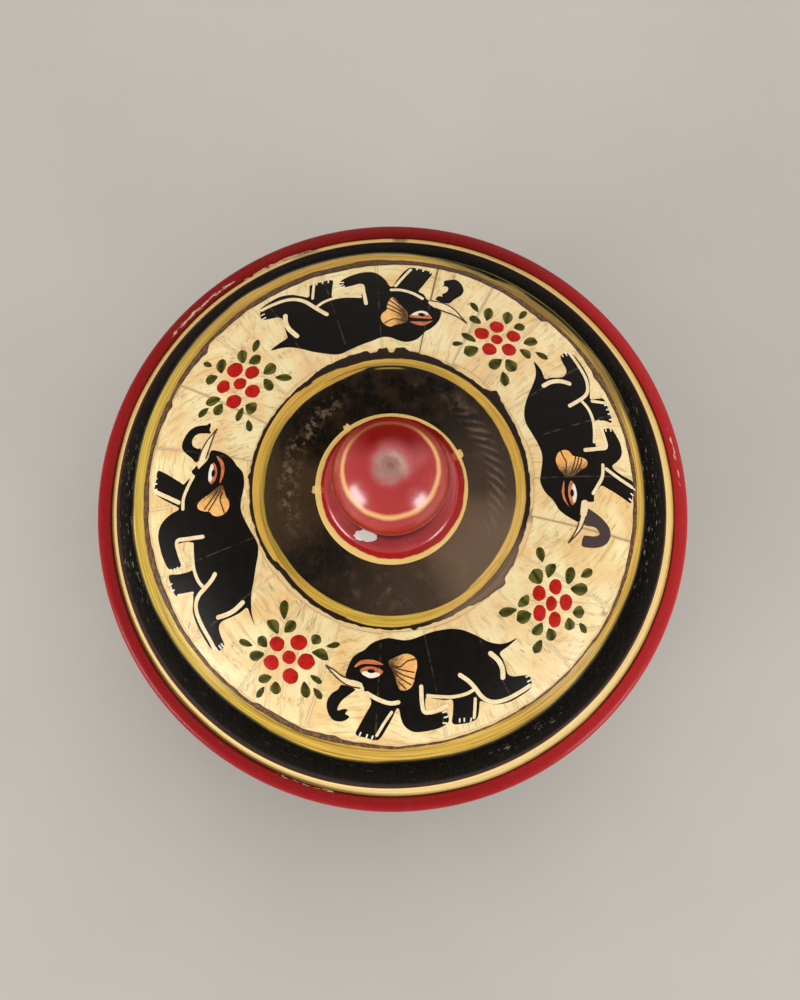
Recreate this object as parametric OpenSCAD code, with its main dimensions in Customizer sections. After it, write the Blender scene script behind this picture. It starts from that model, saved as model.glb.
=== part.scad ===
// Round lidded box, turned in wood and coloured with lac on the lathe.
// The lid is a low dome: its flat middle carries a ball knob, and a ring of thin bone tiles
// lies in a recess turned into its slope, set in dark lac cement.
// Every piece is a profile turned about Z. The box stands on z = 0 with its axis on Z.

/* [Bowl] */
// Height of the bowl, from the table to the seat of the lid
body_h = 46; // [40:1:60]
// Diameter of the bowl below its rim
body_d = 146; // [136:1:148]
// Thickness of the bowl's wall
body_wall = 6; // [5:0.1:7]
// Height of the upright stretch under the seat
rim_h = 6; // [5.5:0.1:9]
// Radius of the bead round the bowl's rim
rim_bead_r = 2.3; // [1.8:0.1:2.6]
// How far that bead stands out from the bowl
rim_bead_out = 1; // [0.4:0.1:1]
// Diameter of the bowl where it meets its foot
foot_d = 100; // [90:1:112]
// Height of the rounded foot ring
foot_h = 6; // [4:0.1:8]
// How far the foot ring stands out past the bowl's underside
foot_out = 2; // [1:0.1:3]
// Width of the flat that the box stands on
foot_land = 8; // [5:0.1:12]
// Depth of the hollow turned under the foot
foot_hollow = 2; // [1:0.1:3]
// Thickness of the floor above that hollow
floor_t = 8; // [7:0.1:10]

/* [Lid] */
// Diameter across the bead round the lid
lid_d = 150; // [149:1:158]
// Radius of the lid's bead
lid_bead_r = 2.3; // [2:0.1:2.8]
// Height of the dome's flat middle above the middle of the bead
dome_rise = 29.4; // [26:0.2:34]
// Diameter of the dome's flat middle
flat_d = 53.4; // [48:0.2:56]
// Distance from the outside of the bead in to the dome's foot
dome_foot_in = 4.2; // [3.8:0.1:4.8]
// Height of the dome's foot above the middle of the bead
dome_foot_rise = 1.3; // [0.8:0.1:1.8]
// Thickness of the dome
dome_wall = 7; // [6:0.1:8]
// Depth of the spigot that keeps the lid in the bowl's mouth
spigot_h = 5; // [3:0.1:5]
// Thickness of the spigot
spigot_t = 2.8; // [2:0.1:4]
// Gap all round between the spigot and the bowl's mouth
spigot_gap = 0.4; // [0.3:0.05:0.8]

/* [Bone tiles] */
// Number of tiles in the ring
tile_count = 23; // [16:1:30]
// Thickness of a tile
tile_t = 2.2; // [1.6:0.1:2.6]
// Thickness of the lac cement under the tiles
cement_t = 0.5; // [0.3:0.1:0.8]
// Distance from the edge of the flat middle out to the recess for the tiles
recess_from_flat = 3.5; // [2.8:0.1:6]
// Distance from the outside of the lid in to that recess
recess_from_edge = 17.5; // [15:0.1:22]
// Width of the cement showing inside the ring of tiles
cement_in = 1.1; // [0.6:0.1:2]
// Width of the cement showing outside the ring of tiles
cement_out = 1.4; // [0.8:0.1:2.4]
// Width of the seam between two tiles, half way out
seam = 0.35; // [0.25:0.05:0.6]
// How far a tile's ends may fall short of the ring, as cut by hand
ragged = 0.45; // [0:0.05:0.7]
// Angle of the first seam
first_seam = 4; // [0:1:15]
// How far the seams drift round from even spacing, in degrees
seam_drift = 4; // [0:0.5:6]
// Clearance that the glue fills
glue = 0.05; // [0.03:0.01:0.1]

/* [Knob] */
// Diameter of the ball
ball_d = 24; // [18:0.5:28]
// Height of the ball's centre above the dome's flat middle
ball_rise = 15.8; // [14:0.2:20]
// Diameter of the knob's foot where it stands on the dome
knob_foot_d = 33.7; // [26:0.1:38]
// Height of the knob's foot
knob_foot_h = 4.5; // [3:0.1:6]
// How far the sloping side of the foot leans in
knob_foot_lean = 2.05; // [1:0.05:3]
// Radius of the round along the foot's upper edge
knob_foot_round = 1.6; // [1:0.1:2]
// Diameter of the neck between foot and ball
neck_d = 15; // [10:0.5:17]
// Width of the lathe-centre mark on top of the ball
centre_mark_d = 4.2; // [2:0.1:6]
// Depth of that mark
centre_mark_h = 0.5; // [0.3:0.1:1]
// Diameter of the tenon that holds the knob
tenon_d = 10; // [6:0.5:14]
// Length of the tenon
tenon_h = 4.5; // [3:0.1:5]

/* [Hidden] */
$fn = 180;

// Bowl
body_r = body_d / 2;
mouth_r = body_r - body_wall;
foot_r = foot_d / 2;
shoulder_z = body_h - rim_h;
// The bowl's side is one arc, upright at the shoulder, that runs down to the foot
side_dr = body_r - foot_r;
side_dz = shoulder_z - foot_h;
side_r = (side_dr * side_dr + side_dz * side_dz) / (2 * side_dr);
side_centre_r = body_r - side_r;
rim_bead_z = body_h - rim_bead_r;
rim_bead_centre_r = body_r + rim_bead_out - rim_bead_r;
foot_bead_r = foot_h / 2;
foot_bead_centre_r = foot_r + foot_out - foot_bead_r;
floor_z = foot_hollow + floor_t;

// Lid: the dome's slope is one arc, level where it meets the flat middle
lid_r = lid_d / 2;
flat_r = flat_d / 2;
lid_bead_z = body_h + lid_bead_r;
lid_bead_centre_r = lid_r - lid_bead_r;
flat_z = lid_bead_z + dome_rise;
dome_dr = lid_r - dome_foot_in - flat_r;
dome_dz = dome_rise - dome_foot_rise;
dome_r = (dome_dr * dome_dr + dome_dz * dome_dz) / (2 * dome_dz);
dome_centre_z = flat_z - dome_r;
spigot_r = mouth_r - spigot_gap;
spigot_in_r = spigot_r - spigot_t;
hole_gap = 0.3; // free depth below the end of the tenon

// Tiles: ends are angles about the centre of the dome's arc, leaning out from upright
recess_in = lean(flat_r + recess_from_flat);
recess_out = lean(lid_r - recess_from_edge);
recess_depth = tile_t + cement_t;
ring_in = recess_in + swing(cement_in);
ring_out = recess_out - swing(cement_out);
ring_mid_r = flat_r + dome_r * sin((ring_in + ring_out) / 2);
seam_deg = seam / ring_mid_r * 180 / PI;
glue_deg = glue / ring_mid_r * 180 / PI;
seam_jitter = 0.5; // degrees
proud = 1;         // how far a cutting section stands out of the surface

function tile_name(i) = str("bone_tile_", i < 9 ? "0" : "", i + 1);
// Lean of the point of the dome's slope that is r from the axis
function lean(r) = asin((r - flat_r) / dome_r);
// Angle that a length along the slope takes up
function swing(s) = s / dome_r * 180 / PI;
// Uneven numbers between 0 and 1 that repeat the same way each time
function uneven(i, k) = 0.5 + 0.5 * sin(i * 137.5 + k * 71);
function seam_even(i) = first_seam + i * 360 / tile_count;
function seam_at(i) = seam_even(i) - seam_drift * (1 - cos(seam_even(i)))
    + seam_jitter * (2 * uneven(i % tile_count, 0) - 1);
function tile_in(i) = ring_in + swing(ragged * uneven(i, 1));
function tile_out(i) = ring_out - swing(ragged * uneven(i, 2));

// A ring section: half-plane of r and z, from height z up
module band(r, z, h) {
    translate([0, z]) square([r, h]);
}

// Everything inside the dome's surface, less a depth, above height z
module dome_profile(depth, z) {
    intersection() {
        union() {
            translate([flat_r, dome_centre_z]) circle(r = dome_r - depth);
            band(flat_r, z, flat_z - depth - z);
        }
        band(lid_r, z, flat_z);
    }
}

// A strip under the dome's surface between two leans, from a depth out to a height above it
module slope_strip(from, to, depth, above) {
    reach = 2 * dome_r;
    translate([flat_r, dome_centre_z]) intersection() {
        difference() {
            circle(r = dome_r + above);
            circle(r = dome_r - depth);
        }
        polygon([[0, 0], reach * [sin(from), cos(from)], reach * [sin(to), cos(to)]]);
    }
}

// Everything inside the bowl's side, less a wall, from height z to the shoulder
module side_profile(wall, z) {
    intersection() {
        union() {
            translate([side_centre_r, shoulder_z]) circle(r = side_r - wall);
            band(side_centre_r, z, shoulder_z - z);
        }
        band(body_r, z, shoulder_z - z);
    }
}

module body_profile() {
    difference() {
        union() {
            side_profile(0, foot_bead_r);
            band(body_r, shoulder_z, rim_bead_z - shoulder_z);
            band(rim_bead_centre_r, shoulder_z, rim_h);
            translate([rim_bead_centre_r, rim_bead_z]) circle(r = rim_bead_r);
            band(foot_bead_centre_r, 0, foot_h);
            translate([foot_bead_centre_r, foot_bead_r]) circle(r = foot_bead_r);
        }
        side_profile(body_wall, floor_z);
        band(mouth_r, shoulder_z, rim_h + 1);
        band(foot_bead_centre_r - foot_land, -1, foot_hollow + 1);
    }
}

module lid_profile() {
    difference() {
        union() {
            dome_profile(0, body_h);
            band(lid_bead_centre_r, body_h, lid_bead_r);
            translate([lid_bead_centre_r, lid_bead_z]) circle(r = lid_bead_r);
            band(spigot_r, body_h - spigot_h, spigot_h);
        }
        intersection() {
            dome_profile(dome_wall, body_h - spigot_h - 1);
            band(spigot_in_r, 0, flat_z);
        }
        slope_strip(recess_in, recess_out, recess_depth, proud);
    }
}

module knob_foot_profile() {
    top_r = knob_foot_d / 2 - knob_foot_lean;
    round_z = knob_foot_h - knob_foot_round;
    polygon([[0, 0], [knob_foot_d / 2, 0], [top_r, round_z], [0, round_z]]);
    band(top_r - knob_foot_round, 0, knob_foot_h);
    translate([top_r - knob_foot_round, round_z]) circle(r = knob_foot_round);
}

module body() {
    color("black") rotate_extrude() body_profile();
}

module lid() {
    color("black") difference() {
        rotate_extrude() lid_profile();
        translate([0, 0, flat_z - tenon_h - hole_gap])
            cylinder(d = tenon_d + 2 * glue, h = tenon_h + hole_gap + 1);
    }
}

module knob() {
    mark_z = sqrt(ball_d * ball_d - centre_mark_d * centre_mark_d) / 2;
    color("crimson") translate([0, 0, flat_z]) difference() {
        union() {
            rotate_extrude() knob_foot_profile();
            cylinder(d = neck_d, h = ball_rise);
            translate([0, 0, ball_rise]) sphere(d = ball_d);
            translate([0, 0, -tenon_h]) cylinder(d = tenon_d, h = tenon_h + 1);
        }
        translate([0, 0, ball_rise + mark_z - centre_mark_h])
            cylinder(d1 = centre_mark_d / 3, d2 = centre_mark_d * 5 / 3, h = 2 * centre_mark_h);
    }
}

// The strip of the dome's slope between two angles round the axis
module tile_solid(i, spare, spare_deg, above) {
    from = seam_at(i) + seam_deg / 2 - spare_deg;
    to = seam_at(i + 1) - seam_deg / 2 + spare_deg;
    rotate([0, 0, from]) rotate_extrude(angle = to - from)
        slope_strip(tile_in(i) - swing(spare), tile_out(i) + swing(spare), tile_t + spare, above);
}

module tile_bed() {
    color("saddlebrown") difference() {
        rotate_extrude() slope_strip(recess_in + swing(glue), recess_out - swing(glue),
            recess_depth - glue, 0);
        for (i = [0 : tile_count - 1]) tile_solid(i, glue, glue_deg, proud);
    }
}

module bone_tile(i) {
    color("moccasin") tile_solid(i, 0, 0, 0);
}

body();
lid();
knob();
tile_bed();
for (i = [0 : tile_count - 1]) bone_tile(i);
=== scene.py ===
# %% [markdown]
# # A turned box with a ring of painted bone
# This script dresses a small round box. Its wood was turned on a lathe and coloured by pressing
# sticks of lac against it while it spun, so every colour is a ring. A ring of bone tiles is let
# into the lid and painted with four elephants and four sprays of berries. The CAD model gives
# each piece its true place, and nothing here moves it: all new pieces are made in its frame.

# %% Load the model and note its size
import math

import bpy
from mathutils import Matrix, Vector
from mathutils.geometry import delaunay_2d_cdt


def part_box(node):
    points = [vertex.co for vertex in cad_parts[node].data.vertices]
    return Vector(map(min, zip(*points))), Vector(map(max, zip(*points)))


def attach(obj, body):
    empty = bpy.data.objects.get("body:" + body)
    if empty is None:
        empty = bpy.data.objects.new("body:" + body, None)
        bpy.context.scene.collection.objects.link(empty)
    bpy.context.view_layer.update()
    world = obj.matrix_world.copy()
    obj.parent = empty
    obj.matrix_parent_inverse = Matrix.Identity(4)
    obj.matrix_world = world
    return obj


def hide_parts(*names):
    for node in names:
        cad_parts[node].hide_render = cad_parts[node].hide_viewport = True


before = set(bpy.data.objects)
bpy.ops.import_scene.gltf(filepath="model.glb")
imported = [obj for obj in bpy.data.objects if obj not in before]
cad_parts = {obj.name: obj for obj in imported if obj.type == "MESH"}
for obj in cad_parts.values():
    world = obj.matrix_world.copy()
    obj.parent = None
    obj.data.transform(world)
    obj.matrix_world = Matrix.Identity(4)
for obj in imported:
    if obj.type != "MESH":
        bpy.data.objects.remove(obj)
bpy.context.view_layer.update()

MM = 0.001

# %% [markdown]
# ## The camera
# The photograph looks almost straight down from a hand's reach above the knob. A camera this
# near sees the knob larger than the rim, so its distance matters as much as its angle. It leans
# a little towards the far side of the box, which is why the knob hides part of its own foot.

# %% Stand the camera where the photograph was taken
def placed(name, data):
    """Adds an object with its data to the scene."""
    made = bpy.data.objects.new(name, data)
    bpy.context.collection.objects.link(made)
    return made


EYE = Vector((1.8, -27.9, 260.2))
eye = bpy.data.cameras.new("camera")
eye.lens = 30.17
eye.sensor_width = 36
camera = placed("camera", eye)
camera.location = EYE * MM
camera.rotation_euler = (math.radians(7.88), 0, math.radians(-0.12))
eye.clip_start = 0.01
bpy.context.scene.camera = camera

# %% [markdown]
# ## Numbers and colours in node trees
# Materials and Geometry Nodes are both trees of small sums. Written out node by node they are
# hard to read, so two helpers are made first. A Wire is a number inside a tree: adding two Wires
# adds a Math node, and a rule then reads as it would on paper. A Tree adds nodes and joins them.

# %% A Wire is a number in a tree
class Wire:
    """A number in a node tree, which can be added, multiplied and so on like any other."""

    def __init__(self, tree, end):
        self.tree = tree
        self.end = end

    def do(self, operation, *others):
        node = self.tree.node("ShaderNodeMath", operation=operation)
        for value, socket in zip((self, *others), node.inputs):
            self.tree.join(value, socket)
        return Wire(self.tree, node.outputs[0])

    def __add__(self, other):
        return self.do("ADD", other)

    def __sub__(self, other):
        return self.do("SUBTRACT", other)

    def __mul__(self, other):
        return self.do("MULTIPLY", other)

    def __truediv__(self, other):
        return self.do("DIVIDE", other)

    def __rsub__(self, other):
        return (self * -1) + other

    __radd__ = __add__
    __rmul__ = __mul__

    def sin(self):
        return self.do("SINE")

    def cos(self):
        return self.do("COSINE")

    def size(self):
        return self.do("ABSOLUTE")

    def at_least(self, other):
        return self.do("MAXIMUM", other)

    def at_most(self, other):
        return self.do("MINIMUM", other)


# %% A Tree adds nodes and joins them
class Tree:
    """Short calls for building a node tree."""

    def __init__(self, inner):
        self.inner = inner

    def node(self, kind, **settings):
        made = self.inner.nodes.new(kind)
        for name, value in settings.items():
            setattr(made, name, value)
        return made

    def join(self, value, socket):
        if isinstance(value, Wire):
            value = value.end
        if isinstance(value, bpy.types.NodeSocket):
            self.inner.links.new(value, socket)
        else:
            socket.default_value = value

    def fed(self, kind, feeds, **settings):
        """Adds a node, and joins values to its inputs by their names."""
        made = self.node(kind, **settings)
        for name, value in feeds.items():
            self.join(value, made.inputs[name])
        return made

    def vector(self, x, y, z):
        return self.fed("ShaderNodeCombineXYZ", {"X": x, "Y": y, "Z": z}).outputs[0]

    def blended(self, share, first, second, target):
        """Joins two shaders to a target, the second one where share is 1."""
        node = self.node("ShaderNodeMixShader")
        for value, socket in zip((share, first.outputs[0], second.outputs[0]), node.inputs):
            self.join(value, socket)
        self.join(node.outputs[0], target)

    def parts(self, vector):
        node = self.fed("ShaderNodeSeparateXYZ", {"Vector": vector})
        return [Wire(self, end) for end in node.outputs]


def colour(red, green, blue):
    """A colour read off a screen, 0 to 255, as the linear light that Blender counts in."""
    parts = []
    for part in (red, green, blue):
        part = part / 255
        parts.append(part / 12.92 if part <= 0.04045 else ((part + 0.055) / 1.055) ** 2.4)
    return (*parts, 1.0)


# %% [markdown]
# ## What every finish shares
# Everything on this box is a finish with a little disorder in it: colour that drifts, a gloss
# that is duller where it was handled, a surface that isn't quite level. A Finish is a Tree with
# a Principled shader and short calls for those. Patterns are laid out in millimetres in the
# frame of the object itself, so they stay on the piece from any side.
# Lac is pressed on while the work spins, so its streaks run round the axis. A noise that turns
# slowly round the axis and quickly across it gives them: it reads the direction from the axis,
# which has no seam, instead of an angle, which has one.

# %% A Finish is a material with words for what a surface does
class Finish(Tree):
    """A material: a Principled shader and short calls for the patterns that drive it."""

    def __init__(self, name):
        self.material = bpy.data.materials.new(name)
        self.material.use_nodes = True
        super().__init__(self.material.node_tree)
        self.shader = self.inner.nodes["Principled BSDF"]
        metres = self.parts(self.node("ShaderNodeTexCoord").outputs["Object"])
        self.x, self.y, self.z = [part * 1000 for part in metres]  # in mm
        self.spot = self.vector(self.x, self.y, self.z)

    def turned(self):
        """Works out the radius in mm and the direction from the axis."""
        square = self.x * self.x + self.y * self.y
        self.r = square.do("SQRT").at_least(0.01)
        self.east = self.x / self.r
        self.north = self.y / self.r

    def noise(self, where, scale, detail=3.0, rough=0.55, twist=0.0):
        feeds = {"Vector": where, "Scale": scale, "Detail": detail, "Roughness": rough, "Distortion": twist}
        return Wire(self, self.fed("ShaderNodeTexNoise", feeds).outputs[0])

    def streaks(self, slow, fast, across):
        """Noise drawn out into streaks round the axis."""
        where = self.vector(self.east * slow, self.north * slow, across * fast)
        return self.noise(where, 1.0, 4.0, 0.6)

    def step(self, value, low, high):
        """0 below low, 1 above high, and a soft rise between."""
        node = self.node("ShaderNodeMapRange", interpolation_type="SMOOTHSTEP")
        self.join(value, node.inputs["Value"])
        self.join(low, node.inputs["From Min"])
        self.join(high, node.inputs["From Max"])
        return Wire(self, node.outputs[0])

    def near(self, value, middle, reach):
        """1 at the middle, falling softly to 0 at the reach."""
        return 1 - self.step((value - middle).size(), 0.0, reach)

    def mix(self, share, first, second):
        """A colour between two, the second one where share is 1."""
        node = self.node("ShaderNodeMix", data_type="RGBA")
        self.join(share, node.inputs[0])
        self.join(first, node.inputs[6])
        self.join(second, node.inputs[7])
        return node.outputs[2]

    def laid(self, tint, *rows):
        """Lays colours over a tint, one on another: each row is a share and then a colour."""
        for share, *over in rows:
            tint = self.mix(share, tint, colour(*over))
        return tint

    def finish(self, tint, gloss, height, depth, shine=0.5):
        """Joins colour, roughness, mirror and a bump whose depth is in mm to the shader."""
        for name, value in (("Base Color", tint), ("Roughness", gloss), ("Specular IOR Level", shine)):
            self.join(value, self.shader.inputs[name])
        bump = self.node("ShaderNodeBump")
        self.join(height, bump.inputs["Height"])
        bump.inputs["Distance"].default_value = depth * MM
        self.join(bump.outputs[0], self.shader.inputs["Normal"])


# %% [markdown]
# ## Floor and light
# The box stands on a plain pale floor under an even sky, one large soft panel above it, and two
# low panels to the left and the right. Their sum is set so that a white sheet lying flat would
# come out just white: then a colour comes out about as it is written, here and under any other
# light. The two low panels stand where the photograph's highlights on the knob say that its
# windows were: near the horizon, at the left and at the lower right. Low panels hardly light
# the top of the lid, but they draw its edges and the round of the knob.
# Near the box the floor is lit like any paper and takes the box's shadow. Far off, a floor lit
# by low panels would show their pools of light and a dark horizon. So where the eye or a
# reflection meets it there, floor and sky alike show one plain pale tint.

# %% Lay the floor
floor_mesh = bpy.data.meshes.new("floor")
FLOOR_R = 12  # metres
turns = [2 * math.pi * i / 96 for i in range(96)]
rim = [(FLOOR_R * math.cos(t), FLOOR_R * math.sin(t), 0) for t in turns]
floor_mesh.from_pydata(rim, [], [tuple(range(96))])
floor = placed("floor", floor_mesh)
floor_finish = Finish("floor_paper")
cloud = floor_finish.noise(floor_finish.spot, 0.02)
pale = floor_finish.mix(cloud, colour(196, 190, 182), colour(204, 199, 192))
fibre = floor_finish.noise(floor_finish.spot, 3.0)
floor_finish.finish(pale, cloud * 0.1 + 0.75, fibre, 0.02)
floor_mesh.materials.append(floor_finish.material)
BACKDROP = colour(192, 186, 178)
PLAIN_FROM, PLAIN_TO = 300, 800  # mm from the axis


def seen(tree):
    """1 where the eye or a reflection meets the surface, and 0 where its light is spread."""
    path = tree.node("ShaderNodeLightPath").outputs
    kinds = ("Camera", "Glossy", "Transmission")
    first, second, third = [Wire(tree, path[f"Is {kind} Ray"]) for kind in kinds]
    return first.at_least(second).at_least(third)


floor_finish.turned()
far_off = floor_finish.step(floor_finish.r, PLAIN_FROM, PLAIN_TO) * seen(floor_finish)
plain = floor_finish.fed("ShaderNodeEmission", {"Color": BACKDROP, "Strength": 1.0})
floor_out = floor_finish.inner.nodes["Material Output"].inputs["Surface"]
floor_finish.blended(far_off, floor_finish.shader, plain, floor_out)
print("The floor turns plain from", PLAIN_FROM, "to", PLAIN_TO, "mm out")


# %% Hang the lamps
def lamp(name, spot, size, power):
    """A soft panel lamp at a spot in metres, turned towards the box."""
    light = bpy.data.lights.new(name, "AREA")
    light.shape = "RECTANGLE"
    light.size = size[0]
    light.size_y = size[1]
    light.energy = power
    holder = placed(name, light)
    holder.location = spot
    aim = Vector((0, 0, 0.05)) - Vector(spot)
    holder.rotation_euler = aim.to_track_quat("-Z", "Y").to_euler()
    holder.visible_camera = False


lamp("window_left", (-1.02, -0.62, 0.24), (0.64, 0.4), 8.5)
lamp("window_right", (0.86, -0.74, 0.22), (0.4, 0.36), 5.0)
lamp("soft_top", (0.5, 1.0, 1.1), (2.6, 2.2), 12.0)
sky = bpy.data.worlds.new("sky")
sky.use_nodes = True
air = Tree(sky.node_tree)
light_of_sky = air.inner.nodes["Background"]
light_of_sky.inputs["Color"].default_value = (1.0, 0.98, 0.95, 1)
light_of_sky.inputs["Strength"].default_value = 0.6
sight = air.fed("ShaderNodeBackground", {"Color": BACKDROP, "Strength": 1.0})
air.blended(seen(air), light_of_sky, sight, air.inner.nodes["World Output"].inputs["Surface"])
bpy.context.scene.world = sky
bpy.context.scene.view_settings.view_transform = "Standard"

# %% [markdown]
# ## Turned pieces
# A lathe makes a shape from its profile, and so does this script: a profile is a line of points,
# each a radius and a height in millimetres, carried round the axis in even steps. A point on the
# axis becomes one vertex, so that the middle of a disc is closed. The profile comes in
# stretches, and each stretch has the number of its finish, because the outside of the box is
# lacquered and its inside is bare wood.

# %% Draw arcs and turn profiles
def arc(middle, radius, start, end, step=0.5):
    """Points along an arc about a middle (r, z), from one angle to another in degrees."""
    count = max(2, math.ceil(abs(end - start) * math.pi / 180 * radius / step))
    angles = [math.radians(start + (end - start) * i / count) for i in range(count + 1)]
    return [(middle[0] + radius * math.cos(a), middle[1] + radius * math.sin(a)) for a in angles]


def dressed(name, points, faces, finishes, numbers=None, body="lid_assembly"):
    """Makes a smooth mesh piece from points in mm and rides it on its body."""
    mesh = bpy.data.meshes.new(name)
    mesh.from_pydata([Vector(point) * MM for point in points], [], faces)
    for finish in finishes:
        mesh.materials.append(finish.material)
    if numbers:
        mesh.polygons.foreach_set("material_index", numbers)
    mesh.polygons.foreach_set("use_smooth", [True] * len(mesh.polygons))
    mesh.set_sharp_from_angle(angle=math.radians(40))
    piece = placed(name, mesh)
    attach(piece, body)
    return piece


def turn(name, stretches, finishes, body, sides=288):
    """Turns a profile about Z. Each stretch is a finish number and its points from top down."""
    line = []
    kinds = []
    for number, points in stretches:
        for point in points:
            if line and math.dist(line[-1], point) < 1e-4:
                continue
            if line:
                kinds.append(number)
            line.append(point)
    points = []
    rows = []
    for r, z in line:
        start = len(points)
        if r < 1e-6:
            points.append((0, 0, z))
            rows.append([start] * (sides + 1))
            continue
        for i in range(sides):
            angle = 2 * math.pi * i / sides
            points.append((r * math.cos(angle), r * math.sin(angle), z))
        rows.append([start + i for i in range(sides)] + [start])
    faces = []
    numbers = []
    for upper, lower, number in zip(rows, rows[1:], kinds):
        for i in range(sides):
            corners = [upper[i], lower[i], lower[i + 1], upper[i + 1]]
            faces.append(list(dict.fromkeys(corners)))
            numbers.append(number)
    piece = dressed(name, points, faces, finishes, numbers, body)
    print(name, "is turned from", len(line), "points and has", len(faces), "faces")
    return piece


# %% [markdown]
# ## Bands of lac
# The bands are the heart of the finish. Each edge between two colours is soft by a few
# hundredths of a millimetre and wanders a little, because the stick of lac was held by hand.
# A list of edges, from the inside out, is easier to adjust to the photograph than a picture:
# each row says where an edge is, how soft it is, how far it wanders, and what comes after it.
# Marks that sit on one side only are placed by an angle, alone or as rows that are added up.

# %% A helper that lays bands of colour
def bands(finish, across, first, rows):
    """Lays colours side by side: rows of edge, softness, wander in mm, and the next colour."""
    tint = first
    for number, (edge, soft, wander, following) in enumerate(rows):
        bend = finish.vector(finish.east * 1.7, finish.north * 1.7, number * 5.3)
        drift = finish.noise(bend, 1.3, 5.0, 0.6) - 0.5
        place = across + drift * (wander * 4)
        tint = finish.mix(finish.step(place, edge - soft, edge + soft), tint, following)
    return tint


def toward(finish, angle, reach):
    """1 on the side at an angle in degrees, falling softly to 0 at the reach to either side."""
    turned = math.radians(angle)
    side = finish.east * math.cos(turned) + finish.north * math.sin(turned)
    return finish.step(side, math.cos(math.radians(reach)), math.cos(math.radians(reach * 0.3)))


def added(parts):
    """The sum of some wires."""
    total = parts[0]
    for part in parts[1:]:
        total = total + part
    return total


def sides(finish, *rows):
    """Adds up sides: each row is an angle, its reach, and a share where it isn't whole."""
    parts = []
    for angle, reach, *share in rows:
        side = toward(finish, angle, reach)
        parts.append(side * share[0] if share else side)
    return added(parts)


def marks(finish, value, *rows):
    """Adds up marks: each row is a value and its reach, and then a side as in sides()."""
    parts = []
    for middle, reach, angle, spread, *share in rows:
        mark = finish.near(value, middle, reach) * toward(finish, angle, spread)
        parts.append(mark * share[0] if share else mark)
    return added(parts)


# %% [markdown]
# ## Where the rings end
# The lac was pressed on by hand, so an edge wavers by up to a millimetre, and the cement was
# smeared further still. No formula gives that. Each edge is therefore given one by one, as a row of
# an angle in degrees and the radii in mm at which things change there, and the radii between two
# rows are joined smoothly. The rows go round the lid against the clock, starting from the right.
# The lid's mesh carries the radii as numbers of its own, for its finish to read.

# %% Rows of edges: the inner ring and the outer ring
INNER = [
    (0, 27.4, 29.6, 30.6), (8, 27.3, 29.6, 30.6), (15, 27.2, 29.6, 30.7), (24, 27.1, 29.5, 30.8),
    (30, 27.2, 29.5, 31), (38, 27.3, 29.5, 31.3), (41, 27.4, 29.5, 32), (43, 27.4, 29.5, 32.3),
    (45, 27.4, 29.5, 31.3), (48, 27.5, 29.5, 30.5), (54, 27.5, 29.6, 30.6), (60, 27.6, 29.6, 30.5),
    (66, 27.7, 29.6, 30.8), (72, 27.8, 29.6, 31.2), (82, 27.9, 29.6, 31.5), (85, 27.9, 29.6, 32.2),
    (88, 27.9, 29.5, 32.2), (89.3, 27.9, 29.5, 31.1), (90.8, 27.9, 29.5, 31), (92, 27.9, 29.5, 32.2),
    (95, 27.9, 29.5, 32), (96.2, 27.9, 29.5, 31.2), (98.6, 27.9, 29.5, 31.2), (100, 27.9, 29.5, 31.9),
    (105, 27.4, 29.4, 31.7), (110, 27.2, 29.4, 31.6), (115, 27.1, 29.8, 31.5), (120, 27.1, 29.9, 31.4),
    (125, 27.2, 30, 31.2), (128, 27.3, 29.8, 30.9), (132, 27.4, 30, 31), (135, 27.5, 30.4, 31),
    (140, 27.6, 30.5, 31), (150, 27.8, 30.5, 31.2), (160, 27.9, 30.6, 31.4), (173, 28, 30.7, 31.5),
    (175.2, 28, 30.7, 31.9), (177, 28, 30.7, 31.4), (185, 28.2, 30.7, 31.4), (191, 28.2, 30.7, 31.5),
    (196, 28.3, 30.7, 31.2), (201, 28.1, 30.6, 31.2), (207, 27.8, 30.4, 31.2), (211, 27.7, 30.2, 31.1),
    (214, 27.6, 29.6, 30.8), (219, 27.6, 29.3, 30.3), (225, 27.6, 29.5, 30.5), (240, 27.6, 29.8, 30.7),
    (248, 27.6, 29.8, 30.9), (255, 27.7, 30.1, 30.8), (261, 27.9, 30.3, 30.8), (270, 27.9, 30.3, 30.9),
    (277, 27.9, 30.2, 30.8), (279, 27.9, 30.1, 31.3), (281, 27.9, 30.1, 30.9), (290, 27.9, 29.9, 30.8),
    (302, 27.9, 29.6, 30.7), (305, 27.8, 29.5, 31.1), (310, 27.4, 29.4, 31.7), (315, 27.3, 29.3, 31.9),
    (319.5, 27.3, 29.3, 32.5), (321.5, 27.3, 29.3, 31.5), (327, 27.3, 29.3, 31.4), (332, 27.3, 29.4, 31.1),
    (336, 27.4, 29.5, 30.7), (345, 27.4, 29.6, 30.7), (353, 27.5, 29.7, 30.7),
]
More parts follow.
